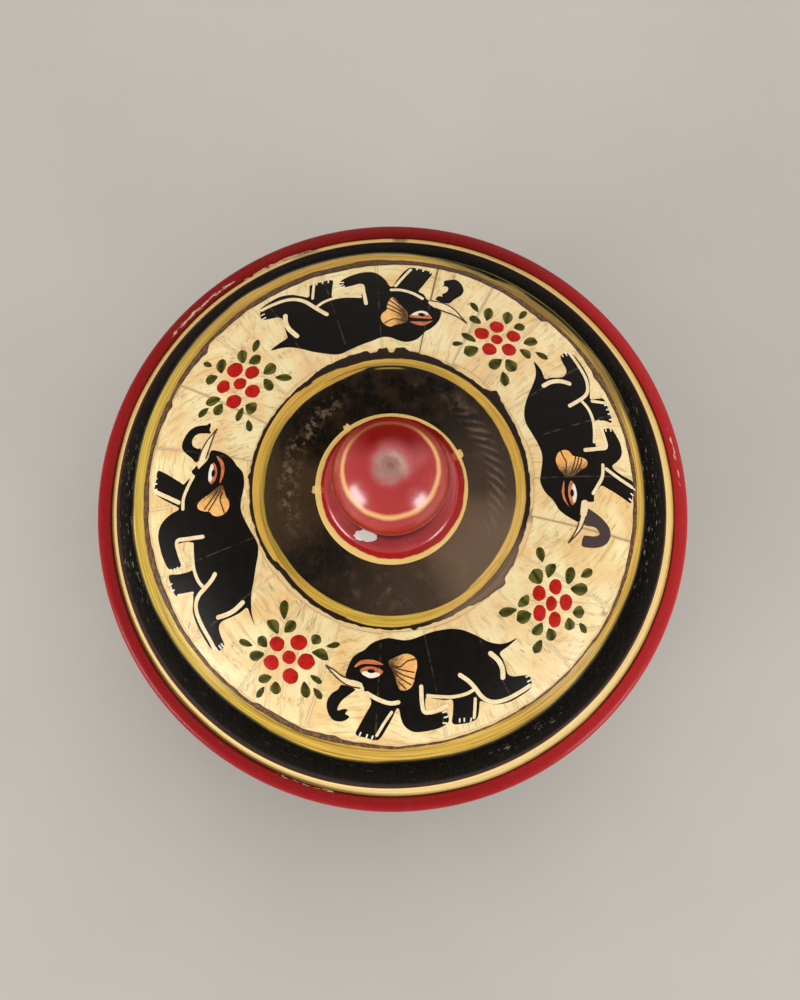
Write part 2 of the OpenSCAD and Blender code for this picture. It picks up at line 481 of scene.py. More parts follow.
OUTER = [
    (0, 55.9, 56.9, 59.2), (5, 56, 57.1, 59.3), (15, 56, 56.8, 59.3), (20, 55.9, 56.7, 59.2),
    (25, 55.6, 56.8, 59.3), (28, 55.4, 57, 59.4), (30, 55, 57.3, 59.5), (32, 55.6, 57.1, 59.7),
    (36, 55.6, 57, 59.6), (41, 55.8, 56.8, 59), (48, 55.6, 56.6, 58.9), (49.5, 54.4, 56.1, 58.8),
    (52, 54.5, 56.3, 58.7), (55, 54.8, 56.5, 58.7), (58, 55.1, 56.6, 59.4), (60.5, 55.3, 56.7, 59.6),
    (63, 55.4, 56.8, 59), (65, 55.5, 56.9, 58.5), (70, 55.8, 57.5, 59), (75, 55.9, 57.3, 59.5),
    (80, 56, 57.5, 59.9), (88, 56, 57.6, 60.6), (95, 55.7, 57.9, 60.9), (105, 55.6, 57.6, 61),
    (110, 56, 57.9, 61.2), (115, 55.8, 57.8, 61.5), (120, 55.9, 57.8, 61.5), (125, 56.2, 57.9, 62.1),
    (128, 56.5, 57.9, 62.2), (131, 56.3, 57.8, 61.8), (135, 56.4, 57.9, 61.7), (140, 56.8, 57.9, 61.7),
    (141.2, 56, 57.8, 61.7), (142.3, 55.2, 57.8, 61.6), (144, 55.7, 57.8, 61.6), (147, 56.1, 57.8, 61.6),
    (150, 56.3, 57.9, 61.5), (153, 56.6, 57.7, 61.4), (156.5, 56.5, 57.6, 61.4), (158, 55.7, 57.8, 61.4),
    (159.5, 56.2, 57.9, 61.4), (165, 56.5, 57.9, 61.5), (171, 56.8, 57.9, 61.4), (181, 56.4, 58, 61.3),
    (187, 56.7, 58, 61.7), (195, 56.5, 58.2, 61.5), (203, 56.3, 57.8, 61.2), (212, 56.5, 57.5, 60.7),
    (225, 56.5, 57.3, 60.3), (236, 56.5, 57.3, 60.2), (238, 55.9, 57.3, 60.2), (244, 56, 57.5, 60.5),
    (250, 56.4, 57.6, 60.7), (254, 56.1, 57.5, 60.8), (256.5, 55.7, 57.4, 60.9), (259, 56.3, 57.2, 61),
    (265, 56.4, 57.3, 60.9), (271, 56.7, 57.3, 60.4), (278, 56.6, 57.1, 60.4), (285, 56.6, 57, 60.6),
    (295, 56.5, 56.8, 60.6), (305, 56.5, 56.9, 60.3), (313, 56.6, 57, 59.9), (320, 56.5, 56.8, 59.5),
    (326, 56.6, 57.2, 59.3), (333, 56.5, 57.2, 59.2), (340, 56.2, 57.1, 59.3), (352, 55.9, 57, 59.3),
]


def edge_at(angle, rows, part):
    """The radius at an angle: part 1, 2 or 3 of the rows, joined smoothly."""
    angle = angle % 360
    after = next((i for i, row in enumerate(rows) if row[0] > angle), 0)
    before, following = rows[after - 1], rows[after]
    share = ((angle - before[0]) % 360) / ((following[0] - before[0]) % 360)
    share = share * share * (3 - 2 * share)
    return before[part] + (following[part] - before[part]) * share


def carry(mesh, name, values):
    """Gives each point of a mesh a number of its own, under a name."""
    mesh.attributes.new(name, "FLOAT", "POINT").data.foreach_set("value", values)


def carry_edges(piece):
    """Lets each point of a piece carry where the two gold rings begin and end at its angle."""
    spots = [vertex.co for vertex in piece.data.vertices]
    angles = [math.degrees(math.atan2(spot.y, spot.x)) for spot in spots]
    for name, rows, part in (("gold_in", INNER, 1), ("gold_top", INNER, 2), ("gold_edge", OUTER, 3)):
        carry(piece.data, name, [edge_at(angle, rows, part) for angle in angles])


def carried(finish, name):
    """Reads a number that the mesh carries at each point."""
    node = finish.node("ShaderNodeAttribute", attribute_name=name)
    return Wire(finish, node.outputs["Fac"])


print(len(INNER), "rows place the inner ring and", len(OUTER), "the outer one")

# %% [markdown]
# ## Lacquer on the lid
# From the axis out: a brown-black middle with marks where the tool chattered, a gold ring,
# black filler, the bone, brown filler, gold with dark streaks, glossy black, a cream stripe
# down in the groove, and crimson on the bead. Every one of these colours was pulled round by
# the work as it spun, so they share the same streaks: broad ones, fine ones, and long ones
# where the stick dragged.

# %% Streaks and clouds that the lid's colours share
lid_finish = Finish("lid_lacquer")
lid_finish.turned()
radius = lid_finish.r
east = lid_finish.east
north = lid_finish.north
run = lid_finish.streaks(1.6, 5.0, radius)
fine_run = lid_finish.streaks(2.5, 16.0, radius + lid_finish.z)
pulled = lid_finish.streaks(2.6, 2.4, radius)
blotch = lid_finish.noise(lid_finish.spot, 0.22, 5.0, 0.6)
gold_run = lid_finish.step(run, 0.5, 0.66)
pulled_dark = lid_finish.step(pulled, 0.5, 0.6)
pulled_pale = 1 - lid_finish.step(pulled, 0.36, 0.44)

# %% [markdown]
# Gold here is a yellow lac over a pale ground. It is darker where the streaks lie and lighter
# where it was pulled thin, it leans to umber on one side and to lemon on another, and the inner
# ring has an olive line where black showed through.

# %% The two golds
light_side = sides(lid_finish, (355, 45), (190, 50), (270, 40, 0.4)).at_most(1)
umber_run = lid_finish.step(run + toward(lid_finish, 46, 42) * 0.24, 0.56, 0.64)
gold = lid_finish.laid(
    lid_finish.mix(gold_run, colour(204, 160, 62), colour(148, 108, 34)),
    (light_side * 0.6, 228, 186, 88),
    (toward(lid_finish, 195, 70) * 0.4, 206, 186, 56),
    (umber_run * 0.6, 84, 54, 18),
    (pulled_dark * 0.5, 156, 114, 30),
    (pulled_pale * 0.5, 244, 208, 104),
)
olive_side = sides(lid_finish, (185, 55), (85, 30, 0.6)) * lid_finish.near(radius, 28.2, 1.0)
inner_gold = lid_finish.laid(
    lid_finish.mix(gold_run * 0.6, colour(220, 174, 74), colour(174, 130, 46)),
    (toward(lid_finish, 262, 34) * 0.6, 226, 194, 72),
    # Painted reflection: the inner gold is painted paler at about 324 degrees.
    (toward(lid_finish, 324, 44) * 0.5, 236, 192, 118),
    (pulled_dark * 0.4, 166, 122, 38),
    (pulled_pale * 0.4, 246, 212, 112),
    (olive_side * 0.8, 140, 124, 44),
)

# %% [markdown]
# The middle was blackened over brown, and the brown comes through in clouds and on the left.
# Its lower right is painted browner and paler as a painted sheen, with a painted reflection at
# about 325 degrees. The cream in the groove has yellowed on one side, has an olive line along its
# outer edge on another, and is worn through in two spots. The crimson is painted darker at the
# far side as painted shade, and lighter at the right as painted light.

# %% Brown, soot, cream and crimson
lower_right_sheen = lid_finish.step(east * 0.8 - north * 0.6, -0.2, 1.0)
brown = lid_finish.laid(
    lid_finish.mix(lid_finish.step(blotch, 0.4, 0.7), colour(15, 9, 4), colour(44, 31, 18)),
    # Painted sheen: the lower right of the middle is painted browner and paler, and a paler patch at about
    # 325 degrees is a painted reflection.
    (lower_right_sheen * 0.6, 92, 72, 56),
    (toward(lid_finish, 325, 36) * 0.5, 138, 112, 90),
    (toward(lid_finish, 186, 34) * 0.45, 92, 70, 46),
)
soot = lid_finish.mix(run, colour(5, 3, 2), colour(14, 9, 6))
cream = lid_finish.laid(
    lid_finish.mix(gold_run, colour(255, 228, 156), colour(222, 182, 108)),
    (marks(lid_finish, radius, (70.6, 1.1, 220, 62)) * 0.9, 146, 112, 50),
    (toward(lid_finish, 22, 44) * 0.5, 255, 226, 136),
    (sides(lid_finish, (88.3, 2, 0.6), (109, 4, 0.45)), 120, 92, 62),
)
crimson = lid_finish.laid(
    lid_finish.mix(fine_run, colour(128, 12, 16), colour(176, 34, 40)),
    # Painted shade: the bead is painted darker at the far side. Painted light: it is painted lighter at the
    # right.
    (toward(lid_finish, 105, 66) * 0.5, 104, 10, 4),
    (toward(lid_finish, 352, 70) * 0.4, 212, 54, 58),
)

# %% [markdown]
# The bands follow the edges that the mesh carries. The cream runs out by half a millimetre to
# one side, so its edge is a circle with a middle of its own.

# %% Lay the bands of the lid
GOLD_END = 60.4
past_in = radius - carried(lid_finish, "gold_in")
past_top = radius - carried(lid_finish, "gold_top")
off_gold = radius - carried(lid_finish, "gold_edge") + GOLD_END
off_cream = radius + (east + north) * 0.5
tint = brown
for across, rows in [
    (past_in, [(0, 0.12, 0.12, inner_gold)]),
    (past_top, [(0, 0.12, 0.08, soot)]),
    (radius, [(54.0, 0.15, 0.1, gold)]),
    (off_gold, [(60.2, 0.2, 0.2, colour(84, 74, 26)), (60.6, 0.2, 0.12, soot)]),
    (off_cream, [(67.2, 0.3, 0.1, colour(52, 30, 18)), (67.95, 0.15, 0.1, cream)]),
    # Painted shade: a dark maroon ring is painted on the bead's inner flank, down in the groove, before the
    # crimson.
    (radius, [(70.95, 0.12, 0.12, colour(84, 16, 14)), (71.35, 0.2, 0.1, crimson)]),
]:
    tint = bands(lid_finish, across, tint, rows)

# %% [markdown]
# Thin lines lie in the gold where a second stroke of lac didn't meet the first, and three blobs
# of cream sit beside the knob, where the stick was lifted.

# %% Stray lines and blobs
wavy = radius + (run - 0.5) * 1.2
gold_line = marks(
    lid_finish,
    wavy,
    (58.6, 0.22, 10, 34),
    (57.9, 0.35, 256, 34),
    (58.5, 0.22, 150, 36),
    (57.9, 0.4, 71, 5),
)
green_line = marks(lid_finish, wavy, (60.2, 0.25, 70, 36), (59.9, 0.22, 40, 26, 0.8))
doubled = marks(lid_finish, radius, (28.1, 0.2, 110, 16), (29.0, 0.14, 200, 26, 0.6))
stray = marks(lid_finish, radius, (27.3, 0.3, 91, 8))
blob_edge = lid_finish.noise(lid_finish.spot, 1.4, 2.0) * 0.5
blob = sides(lid_finish, (126, 3.4), (27, 4.2), (181, 4, 0.8)) * lid_finish.near(radius, 16.7, 1.6)
tint = lid_finish.laid(
    tint,
    (gold_line.at_most(1) * 0.7, 96, 76, 24),
    (green_line.at_most(1) * 0.7, 150, 136, 56),
    (doubled.at_most(1) * 0.8, 52, 38, 12),
    (stray * 0.8, 190, 160, 70),
    (lid_finish.step(blob + blob_edge, 0.6, 0.75), 232, 196, 124),
)

# %% [markdown]
# ## Wear on the lid
# Light specks and short scratches lie on the black. On the dark middle the tool chattered and
# left a ring of short slanting ribs on two sides. The bead lost its red along its inner edge on
# one side, down to the pale ground: those chips are drawn out along the bead, because that is
# the way a rim is knocked. A scratch is a thin slice of a noise that was drawn out one way.

# %% Scratches, specks and the marks of the tool
scratch_way = lid_finish.vector(lid_finish.x * 0.9, lid_finish.y * 0.12, lid_finish.z * 0.3)
scratch = lid_finish.noise(scratch_way, 1.0, 6.0, 0.7, 0.6)
scratch = lid_finish.near(scratch, 0.5, 0.006)
speck_way = lid_finish.vector(east * 30, north * 30, radius * 1.6)
speck = lid_finish.step(lid_finish.noise(speck_way, 1.0, 4.0, 0.7), 0.6, 0.66)
speck_sides = sides(lid_finish, (3, 28), (184, 24)) * lid_finish.near(off_gold, 63, 4)
speck_sides = speck_sides + toward(lid_finish, 300, 12) * lid_finish.near(off_gold, 63.5, 2) * 0.5
speck = speck * (speck_sides + 0.06)
chatter = (north.do("ARCTAN2", east) * 62 + radius * 2.6 + blotch * 6).cos()
chatter_zone = marks(lid_finish, radius, (23.2, 2.8, 12, 46))
rib = lid_finish.step(chatter, -0.3, 0.9) * chatter_zone * lid_finish.step(blotch, 0.3, 0.55)
pitted = lid_finish.step(lid_finish.noise(lid_finish.spot, 0.62, 3.0, 0.6), 0.48, 0.66)
pitted = pitted * toward(lid_finish, 162, 52) * lid_finish.near(radius, 22.8, 3.2)
smudge = lid_finish.noise(lid_finish.spot, 0.2, 5.0, 0.65, 0.6)
smudge = lid_finish.step(smudge, 0.5, 0.72) * lid_finish.near(radius, 22.5, 5.5)
pitted = pitted + smudge * (sides(lid_finish, (275, 50, 0.7), (50, 34, 0.5)) + 0.15)

# %% Chips on the bead
chip_way = lid_finish.vector(east * 34, north * 34, radius * 2.6)
chip_noise = lid_finish.noise(chip_way, 1.0, 4.0, 0.6)
chip_zone = marks(
    lid_finish,
    radius,
    (72.2, 0.6, 133, 11, 0.22),
    (71.1, 0.4, 115, 9, 0.32),
    (71.4, 0.5, 253, 8, 0.16),
    (72.8, 0.5, 9, 8, 0.15),
)
pale_patch = lid_finish.step(chip_noise + chip_zone, 0.66, 0.69) * lid_finish.step(chip_zone, 0.01, 0.05)
tint = lid_finish.laid(
    tint,
    (scratch * 0.12 + speck.at_most(0.7), 140, 134, 112),
    (rib * 0.6, 132, 108, 84),
    (pitted.at_most(1) * 0.65, 138, 120, 90),
    (pale_patch * 0.85, 222, 200, 172),
)

# %% [markdown]
# A steep black band mirrors the pale room and turns grey, so its mirror is kept low, and so are
# those of the bead and of one side of the middle. The relief is that of the same marks.

# %% Gloss and relief of the lid
black_band = lid_finish.step(off_gold, 60.3, 61.2) * (1 - lid_finish.step(radius, 66.6, 67.6))
bead_side = lid_finish.step(radius, 70.4, 71.2)
dark_side = (1 - lid_finish.step(radius, 26.0, 27.5)) * toward(lid_finish, 128, 110)
shine = 0.14 - black_band * (north * 0.006 + 0.132) - bead_side * 0.04 - dark_side * 0.1
gloss = blotch * 0.22 + scratch * 0.2 + rib * 0.1 + 0.12
height = fine_run * 0.25 + rib * 1.2 + pitted * 0.8 + blotch * 0.8 - pale_patch * 0.6
lid_finish.finish(tint, gloss, height, 0.09, shine)
print("The lid's finish has", len(lid_finish.inner.nodes), "nodes")

# %% [markdown]
# ## Bare wood inside
# The inside was turned but never lacquered: pale wood with fine rings left by the tool. A tree
# grows in rings about its pith, so the distance from a pith outside the box gives the yearly
# rings, and the hollow cuts through them in long bows. Fine fibres run along the trunk.

# %% Finish of the bare wood
wood_finish = Finish("bare_wood")
wood_finish.turned()
warp_way = wood_finish.vector(wood_finish.x * 0.03, wood_finish.y * 0.009, wood_finish.z * 0.03)
warp = wood_finish.noise(warp_way, 1.0, 4.0, 0.5)
pith_x = wood_finish.x + 46
pith_z = wood_finish.z + 60
from_pith = (pith_x * pith_x + pith_z * pith_z).do("SQRT") + warp * 16
growth = wood_finish.step((from_pith * 1.7).sin(), -0.3, 1.0)
vessel_way = wood_finish.vector(wood_finish.x * 2.4, wood_finish.y * 0.12, wood_finish.z * 2.4)
vessels = wood_finish.noise(vessel_way, 1.0, 3.0, 0.6)
tool_rings = wood_finish.streaks(0.6, 5.0, wood_finish.r + wood_finish.z)
wood = wood_finish.laid(
    wood_finish.mix(warp, colour(216, 178, 128), colour(196, 152, 100)),
    (growth * 0.5, 166, 116, 68),
    (wood_finish.step(vessels, 0.5, 0.7) * 0.4, 132, 90, 52),
    (tool_rings * 0.15, 120, 82, 50),
)
wood_finish.finish(wood, growth * 0.1 + 0.55, tool_rings + vessels * 0.4, 0.08, 0.3)

# %% [markdown]
# ## The lid
# The lid is one turned piece: a flat middle, a dome that is an arc of a circle, a V groove where
# the dome meets the bead, the bead, and underneath a spigot that drops into the bowl's mouth.
# The recess for the tiles is cut into it as it is in the wood, with its walls square to the dome.
# The numbers repeat the CAD's, and the last line measures the result against the CAD node.

# %% Turn the lid
FLAT_R = 26.7
FLAT_Z = 77.7
DOME_R = 48.655
DOME_MID = (FLAT_R, FLAT_Z - DOME_R)
RECESS_IN = 30.2
RECESS_OUT = 57.5
RECESS_DEEP = 2.7
TILE_T = 2.2
WALL = 7
SEAT_Z = 46
GROOVE_R = 70.8
BEAD_R = 2.3
SPIGOT_R = 66.6


def lean(r):
    """How far the dome leans over at a radius, in degrees."""
    return math.degrees(math.asin((r - FLAT_R) / DOME_R))


recess_in = lean(RECESS_IN)
recess_out = lean(RECESS_OUT)
recess_r = DOME_R - RECESS_DEEP
outside = [(0, FLAT_Z), (9, FLAT_Z), (18, FLAT_Z)]
outside += arc(DOME_MID, DOME_R, 90, 90 - recess_in, 0.8)
outside += arc(DOME_MID, recess_r, 90 - recess_in, 90 - recess_out, 1.2)
outside += arc(DOME_MID, DOME_R, 90 - recess_out, 90 - lean(GROOVE_R), 0.8)
outside += arc((72.7, SEAT_Z + BEAD_R), BEAD_R, 145.6, -90, 0.3)
outside += [(70, SEAT_Z), (SPIGOT_R, SEAT_Z)]
inside = [(SPIGOT_R, SEAT_Z), (SPIGOT_R, 41.3), (66.3, 41), (64.1, 41), (63.8, 41.3), (63.8, 47.98)]
inside += arc(DOME_MID, DOME_R - WALL, 90 - 62.95, 90, 1.2)
inside += [(13, FLAT_Z - WALL), (0, FLAT_Z - WALL)]
lid = turn("lid_turned", [(0, outside), (1, inside)], [lid_finish, wood_finish], "lid_assembly")
carry_edges(lid)
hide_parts("lid")
lowest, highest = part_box("lid")
print("CAD lid:", [round(v / MM, 2) for v in (*lowest, *highest)])
print("This lid: top", max(p[1] for p in outside), "widest", max(p[0] for p in outside))

# %% [markdown]
# ## The knob
# The knob is turned from its own piece of wood: a low foot with a rounded shoulder, a waist,
# and a ball with the small pit of the lathe's centre on top. It is red, with an ochre stripe
# round the ball and gold on the sloping side of its foot. Dust and fingers have made the
# top paler. Its far side is painted darker as painted shade, painted shadow lies in the waist
# under the ball, and a white patch lies on the foot.

# %% Red, stripe, dust and painted shade of the knob
BALL_Z = FLAT_Z + 15.8
BALL_R = 12
knob_finish = Finish("knob_lacquer")
knob_finish.turned()
ball_z = knob_finish.z - BALL_Z
knob_run = knob_finish.streaks(1.2, 3.0, knob_finish.r - knob_finish.z)
knob_cloud = knob_finish.noise(knob_finish.spot, 0.16, 4.0, 0.55)
drift = knob_finish.noise(knob_finish.spot, 0.25) - 0.5
# Painted shade: the far side of the ball is painted darker, its stripe fades there, and on that side its
# coat and mirror are turned down.
shaded_top_side = toward(knob_finish, 90, 80) * knob_finish.step(knob_finish.r, 3.0, 6.5)
stripe = knob_finish.near(knob_finish.r + drift * 0.5, 9.3, 0.74)
stripe = stripe * knob_finish.step(ball_z, 2.0, 4.0)
# Painted shade: the stripe fades on the far side.
stripe = stripe * (1 - toward(knob_finish, 100, 72) * 0.82)
halo = knob_finish.near(knob_finish.r + drift * 2, 3.2, 1.6) * knob_finish.step(ball_z, 8.0, 10.0)
tint = knob_finish.laid(
    knob_finish.mix(knob_run, colour(150, 14, 20), colour(196, 34, 40)),
    (knob_finish.step(knob_cloud, 0.5, 0.75) * 0.4, 200, 76, 80),
    # Painted shade on the far side of the ball.
    (shaded_top_side * 0.75, 116, 16, 4),
    (stripe, 242, 182, 110),
    (halo * 0.4, 206, 96, 104),
)
top_mark = 1 - knob_finish.step(knob_finish.r + drift * 3, 2.3, 3.8)
top_mark = top_mark * knob_finish.step(ball_z, 9.0, 10.0)
rubbed = knob_finish.noise(knob_finish.spot, 0.3, 2.0, 0.5)
dust = knob_finish.mix(knob_finish.step(rubbed, 0.35, 0.65), colour(192, 158, 134), colour(172, 120, 110))
tint = knob_finish.mix(top_mark * 0.85, tint, dust)
pit_side = knob_finish.near(knob_finish.r, 1.3, 0.9) * top_mark
pit = (1 - knob_finish.step(knob_finish.r, 0.4, 1.0)) * top_mark

# %% Painted shadow in the waist, gold and a white patch on its foot
# Painted shadow: the waist, the foot just under the ball and the ball's underside are painted dark maroon.
waist_shadow = 1 - knob_finish.step(knob_finish.r + drift * 0.6, 11.2, 12.2)
waist_shadow = waist_shadow * (1 - knob_finish.step(ball_z, -8.0, -3.5))
tint = knob_finish.laid(
    tint,
    (pit_side * 0.35, 150, 96, 84),
    (pit, 158, 92, 80),
    # Painted shadow under the ball.
    (waist_shadow * 0.85, 58, 8, 14),
)
foot_side = knob_finish.step(knob_finish.r - knob_finish.east * 0.3 + drift * 0.9, 15.6, 15.85)
foot_gold = knob_finish.mix(knob_run, colour(255, 220, 138), colour(232, 186, 100))
tint = knob_finish.mix(foot_side, tint, foot_gold)
# A white patch on the foot, sunk a little.
patch_edge = knob_finish.noise(knob_finish.spot, 0.9) * 0.9
patch_x = (knob_finish.x + 5.5) / 2.4
patch_y = (knob_finish.y + 11.0 + patch_x * 0.25) / 1.2
pale_patch = (patch_x * patch_x + patch_y * patch_y).do("SQRT") + patch_edge
pale_patch = 1 - knob_finish.step(pale_patch, 1.4, 1.5)
pale_patch = knob_finish.step(pale_patch * knob_finish.near(ball_z, -11.6, 1.2), 0.1, 0.3)
tint = knob_finish.mix(pale_patch, tint, colour(255, 250, 244))
gloss = knob_cloud * 0.14 + top_mark * 0.3 + waist_shadow * 0.2 + 0.12
knob_finish.finish(tint, gloss, knob_run - pale_patch * 0.8, 0.06, (1 - shaded_top_side) * 0.15 + 0.01)
knob_finish.join(1 - shaded_top_side * 0.95, knob_finish.shader.inputs["Coat Weight"])
knob_finish.shader.inputs["Coat IOR"].default_value = 1.64
knob_finish.shader.inputs["Coat Roughness"].default_value = 0.24

# %% [markdown]
# The knob's profile is drawn from its top down: the pit, the ball, the waist with its hollow, the
# shoulder of the foot, and the foot's edge on the lid.

# %% Turn the knob
BALL_MID = (0, BALL_Z)
pit_z = BALL_Z + math.sqrt(BALL_R**2 - 2.1**2)
waist_turn = math.degrees(math.acos(7.5 / BALL_R))
shape = [(0, pit_z - 0.5), (0.7, pit_z - 0.5), (2.1, pit_z)]
shape += arc(BALL_MID, BALL_R, 79.9, -waist_turn, 0.4)
shape += [(7.5, FLAT_Z + 5.4)]
shape += arc((8.4, FLAT_Z + 5.4), 0.9, 180, 270, 0.3)
shape += arc((13.2, FLAT_Z + 2.9), 1.6, 90, 0, 0.25)
shape += [(16.85, FLAT_Z), (0, FLAT_Z)]
knob = turn("knob_turned", [(0, shape)], [knob_finish], "lid_assembly", 192)
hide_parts("knob")
print("The ball reaches", round(BALL_Z + BALL_R, 1))

# %% [markdown]
# ## The bowl
# The photograph looks down on the lid, so the bowl is the maker's guess of what goes with it:
# a round belly on a turned foot, a rim bead just inside the lid's own, and the lid's colours
# again as bands round its side. Its inside is the same bare wood.

# %% Finish of the bowl
bowl_finish = Finish("bowl_lacquer")
bowl_finish.turned()
bowl_run = bowl_finish.streaks(1.6, 5.0, bowl_finish.z)
bowl_fine = bowl_finish.streaks(2.5, 16.0, bowl_finish.z + bowl_finish.r)
bowl_blotch = bowl_finish.noise(bowl_finish.spot, 0.22, 5.0, 0.6)
bowl_gold_run = bowl_finish.step(bowl_run, 0.5, 0.66)
bowl_red = bowl_finish.mix(bowl_fine, colour(150, 30, 36), colour(186, 44, 52))
bowl_gold = bowl_finish.mix(bowl_gold_run, colour(214, 172, 84), colour(150, 104, 40))
bowl_cream = bowl_finish.mix(bowl_gold_run, colour(236, 202, 138), colour(188, 146, 80))
bowl_soot = bowl_finish.mix(bowl_run, colour(9, 6, 4), colour(26, 17, 12))
tint = bands(
    bowl_finish,
    bowl_finish.z,
    bowl_red,
    [
        (6.1, 0.15, 0.1, bowl_gold),
        (7.6, 0.15, 0.15, bowl_soot),
        (33.0, 0.15, 0.15, bowl_gold),
        (35.4, 0.2, 0.15, bowl_soot),
        (38.2, 0.15, 0.1, bowl_cream),
        (39.8, 0.15, 0.1, bowl_soot),
        (41.3, 0.15, 0.1, bowl_red),
    ],
)
bowl_chip = bowl_finish.noise(bowl_finish.spot, 0.9, 4.0, 0.6)
bowl_chip = bowl_finish.step(bowl_chip, 0.74, 0.77)
tint = bowl_finish.mix(bowl_chip, tint, colour(222, 206, 182))
bowl_gloss = bowl_blotch * 0.2 + bowl_chip * 0.3 + 0.12
bowl_height = bowl_fine * 0.25 + bowl_blotch * 0.8 - bowl_chip * 0.6
bowl_finish.finish(tint, bowl_gloss, bowl_height, 0.09, 0.22)

# %% Turn the bowl
side_mid = (36.3696, 40)
side_r = 36.6304
side_wall = 6
within = [(0, 10), (14, 10), (28, 10)]
within += arc(side_mid, side_r - side_wall, -78.36, 0, 0.9)
within += [(67, 43), (67, 45.7), (67.3, SEAT_Z)]
lip = [(67.3, SEAT_Z)]
lip += arc((71.7, SEAT_Z - BEAD_R), BEAD_R, 90, -55.6, 0.3)
side = arc(side_mid, side_r, 0, -68.53, 0.8)
side += arc((49, 3), 3, 74.9, -90, 0.3)
under = [(49, 0), (41.3, 0), (41, 0.3), (41, 2), (24, 2), (10, 2), (0, 2)]
stretches = [(1, within), (0, lip + side), (1, under)]
bowl = turn("bowl_turned", stretches, [bowl_finish, wood_finish], "bowl")
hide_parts("body")
print("The bowl is", 2 * max(p[0] for p in lip), "mm wide at its rim")

# %% [markdown]
# ## Bone
# The tiles are slips of shin bone, sawn flat and worked down to the dome. Bone is cream with a
# warm translucent body, fine brown pores that all run one way in a slip, and dirt that has
# crept in along its edges. Each tile carries its own numbers for that: how far a point is from
# the middle of its tile each way, how near to an edge it is, and a shade of its own.

# %% Finish of the bone
bone_finish = Finish("bone")
shade = carried(bone_finish, "shade")
across = carried(bone_finish, "across")
along = carried(bone_finish, "along")
margin = carried(bone_finish, "margin")
way = shade * 2.6 - 0.6
pore_u = across * way.cos() + along * way.sin()
pore_v = along * way.cos() - across * way.sin()
fibre_way = bone_finish.vector(pore_u * 0.14, pore_v * 0.9, shade * 40)
fibres = bone_finish.noise(fibre_way, 1.0, 4.0, 0.6, 0.8)
pore_way = bone_finish.vector(pore_u * 0.12, pore_v * 2.2, shade * 70)
pores = bone_finish.noise(pore_way, 1.0, 3.0, 0.5, 0.3)
cloud = bone_finish.noise(bone_finish.spot, 0.12, 3.0, 0.5, 0.5)
patch = bone_finish.noise(bone_finish.spot, 0.28, 4.0, 0.6, 1.0)
scored = bone_finish.near(pores, 0.5, 0.032) * bone_finish.step(patch, 0.5, 0.64)
edge_dirt = 1 - bone_finish.step(margin + (patch - 0.5) * 1.2, 0.0, 0.5)
warm = bone_finish.laid(
    bone_finish.mix(bone_finish.step(cloud, 0.3, 0.7), colour(255, 238, 180), colour(242, 200, 130)),
    (shade * 0.35, 250, 226, 182),
    (bone_finish.step(fibres, 0.48, 0.72) * 0.6, 206, 156, 92),
    (scored * 0.72, 124, 86, 46),
    (edge_dirt * 0.25, 190, 146, 94),
    (bone_finish.step(patch, 0.62, 0.8) * 0.35, 186, 136, 90),
)
bone_gloss = pores * 0.16 + cloud * 0.12 + 0.24
bone_height = fibres * -0.5 - scored * 0.5 + cloud * 0.8 - edge_dirt * 0.2
bone_finish.finish(warm, bone_gloss, bone_height, 0.05, 0.3)
bone_finish.shader.inputs["Subsurface Weight"].default_value = 0.08
bone_finish.shader.inputs["Subsurface Radius"].default_value = (0.0012, 0.0007, 0.0004)

# %% [markdown]
# ## The ring of tiles, by rule
# All 23 tiles follow one rule, so Geometry Nodes make them. A block with a fine grid is set on
# each point of a line, one point for each tile, and every block is then bent into its place:
# across the block runs the angle between two seams, along it the lean of the dome, and through
# it the thickness. The seams drift from even spacing and each tile's ends differ, by the same
# sums as in the CAD, so the tiles of the picture are the tiles of the model.
# The block's grid is drawn together towards its edges, where the worn rounding needs it.

# %% Short calls for Geometry Nodes
def started(name, inputs):
    """A Geometry Nodes tree with a geometry in and out, and the named inputs."""
    inner = bpy.data.node_groups.new(name, "GeometryNodeTree")
    shape = inner.interface
    shape.new_socket("Geometry", in_out="INPUT", socket_type="NodeSocketGeometry")
    for key, (kind, value) in inputs.items():
        socket = shape.new_socket(key, in_out="INPUT", socket_type=kind)
        if value is not None:
            socket.default_value = value
    shape.new_socket("Geometry", in_out="OUTPUT", socket_type="NodeSocketGeometry")
    tree = Tree(inner)
    tree.source = tree.node("NodeGroupInput").outputs
    tree.target = tree.node("NodeGroupOutput").inputs
    return tree


def number(tree, name):
    """A named input of the tree as a number to reckon with."""
    return Wire(tree, tree.source[name])


def keep(tree, shape, name, value, domain="POINT", kind="FLOAT"):
    """Stores a value under a name on the shape."""
    feeds = {"Geometry": shape, "Name": name, "Value": value}
    node = tree.fed("GeometryNodeStoreNamedAttribute", feeds, domain=domain, data_type=kind)
    return node.outputs[0]


def kept(tree, name, kind="FLOAT"):
    """Reads back what keep() stored."""
    node = tree.fed("GeometryNodeInputNamedAttribute", {"Name": name}, data_type=kind)
    return node.outputs[0]


def wrapped(tree, shape, angle, leaning, lift):
    """Moves points onto the dome, at an angle and lean in degrees and a lift in mm."""
    turn_by = angle * (math.pi / 180)
    lean_by = leaning * (math.pi / 180)
    reach = lean_by.sin() * (lift + DOME_R) + FLAT_R
    high = lean_by.cos() * (lift + DOME_R) + (FLAT_Z - DOME_R)
    place = tree.vector(turn_by.cos() * reach * MM, turn_by.sin() * reach * MM, high * MM)
    return tree.fed("GeometryNodeSetPosition", {"Geometry": shape, "Position": place}).outputs[0]


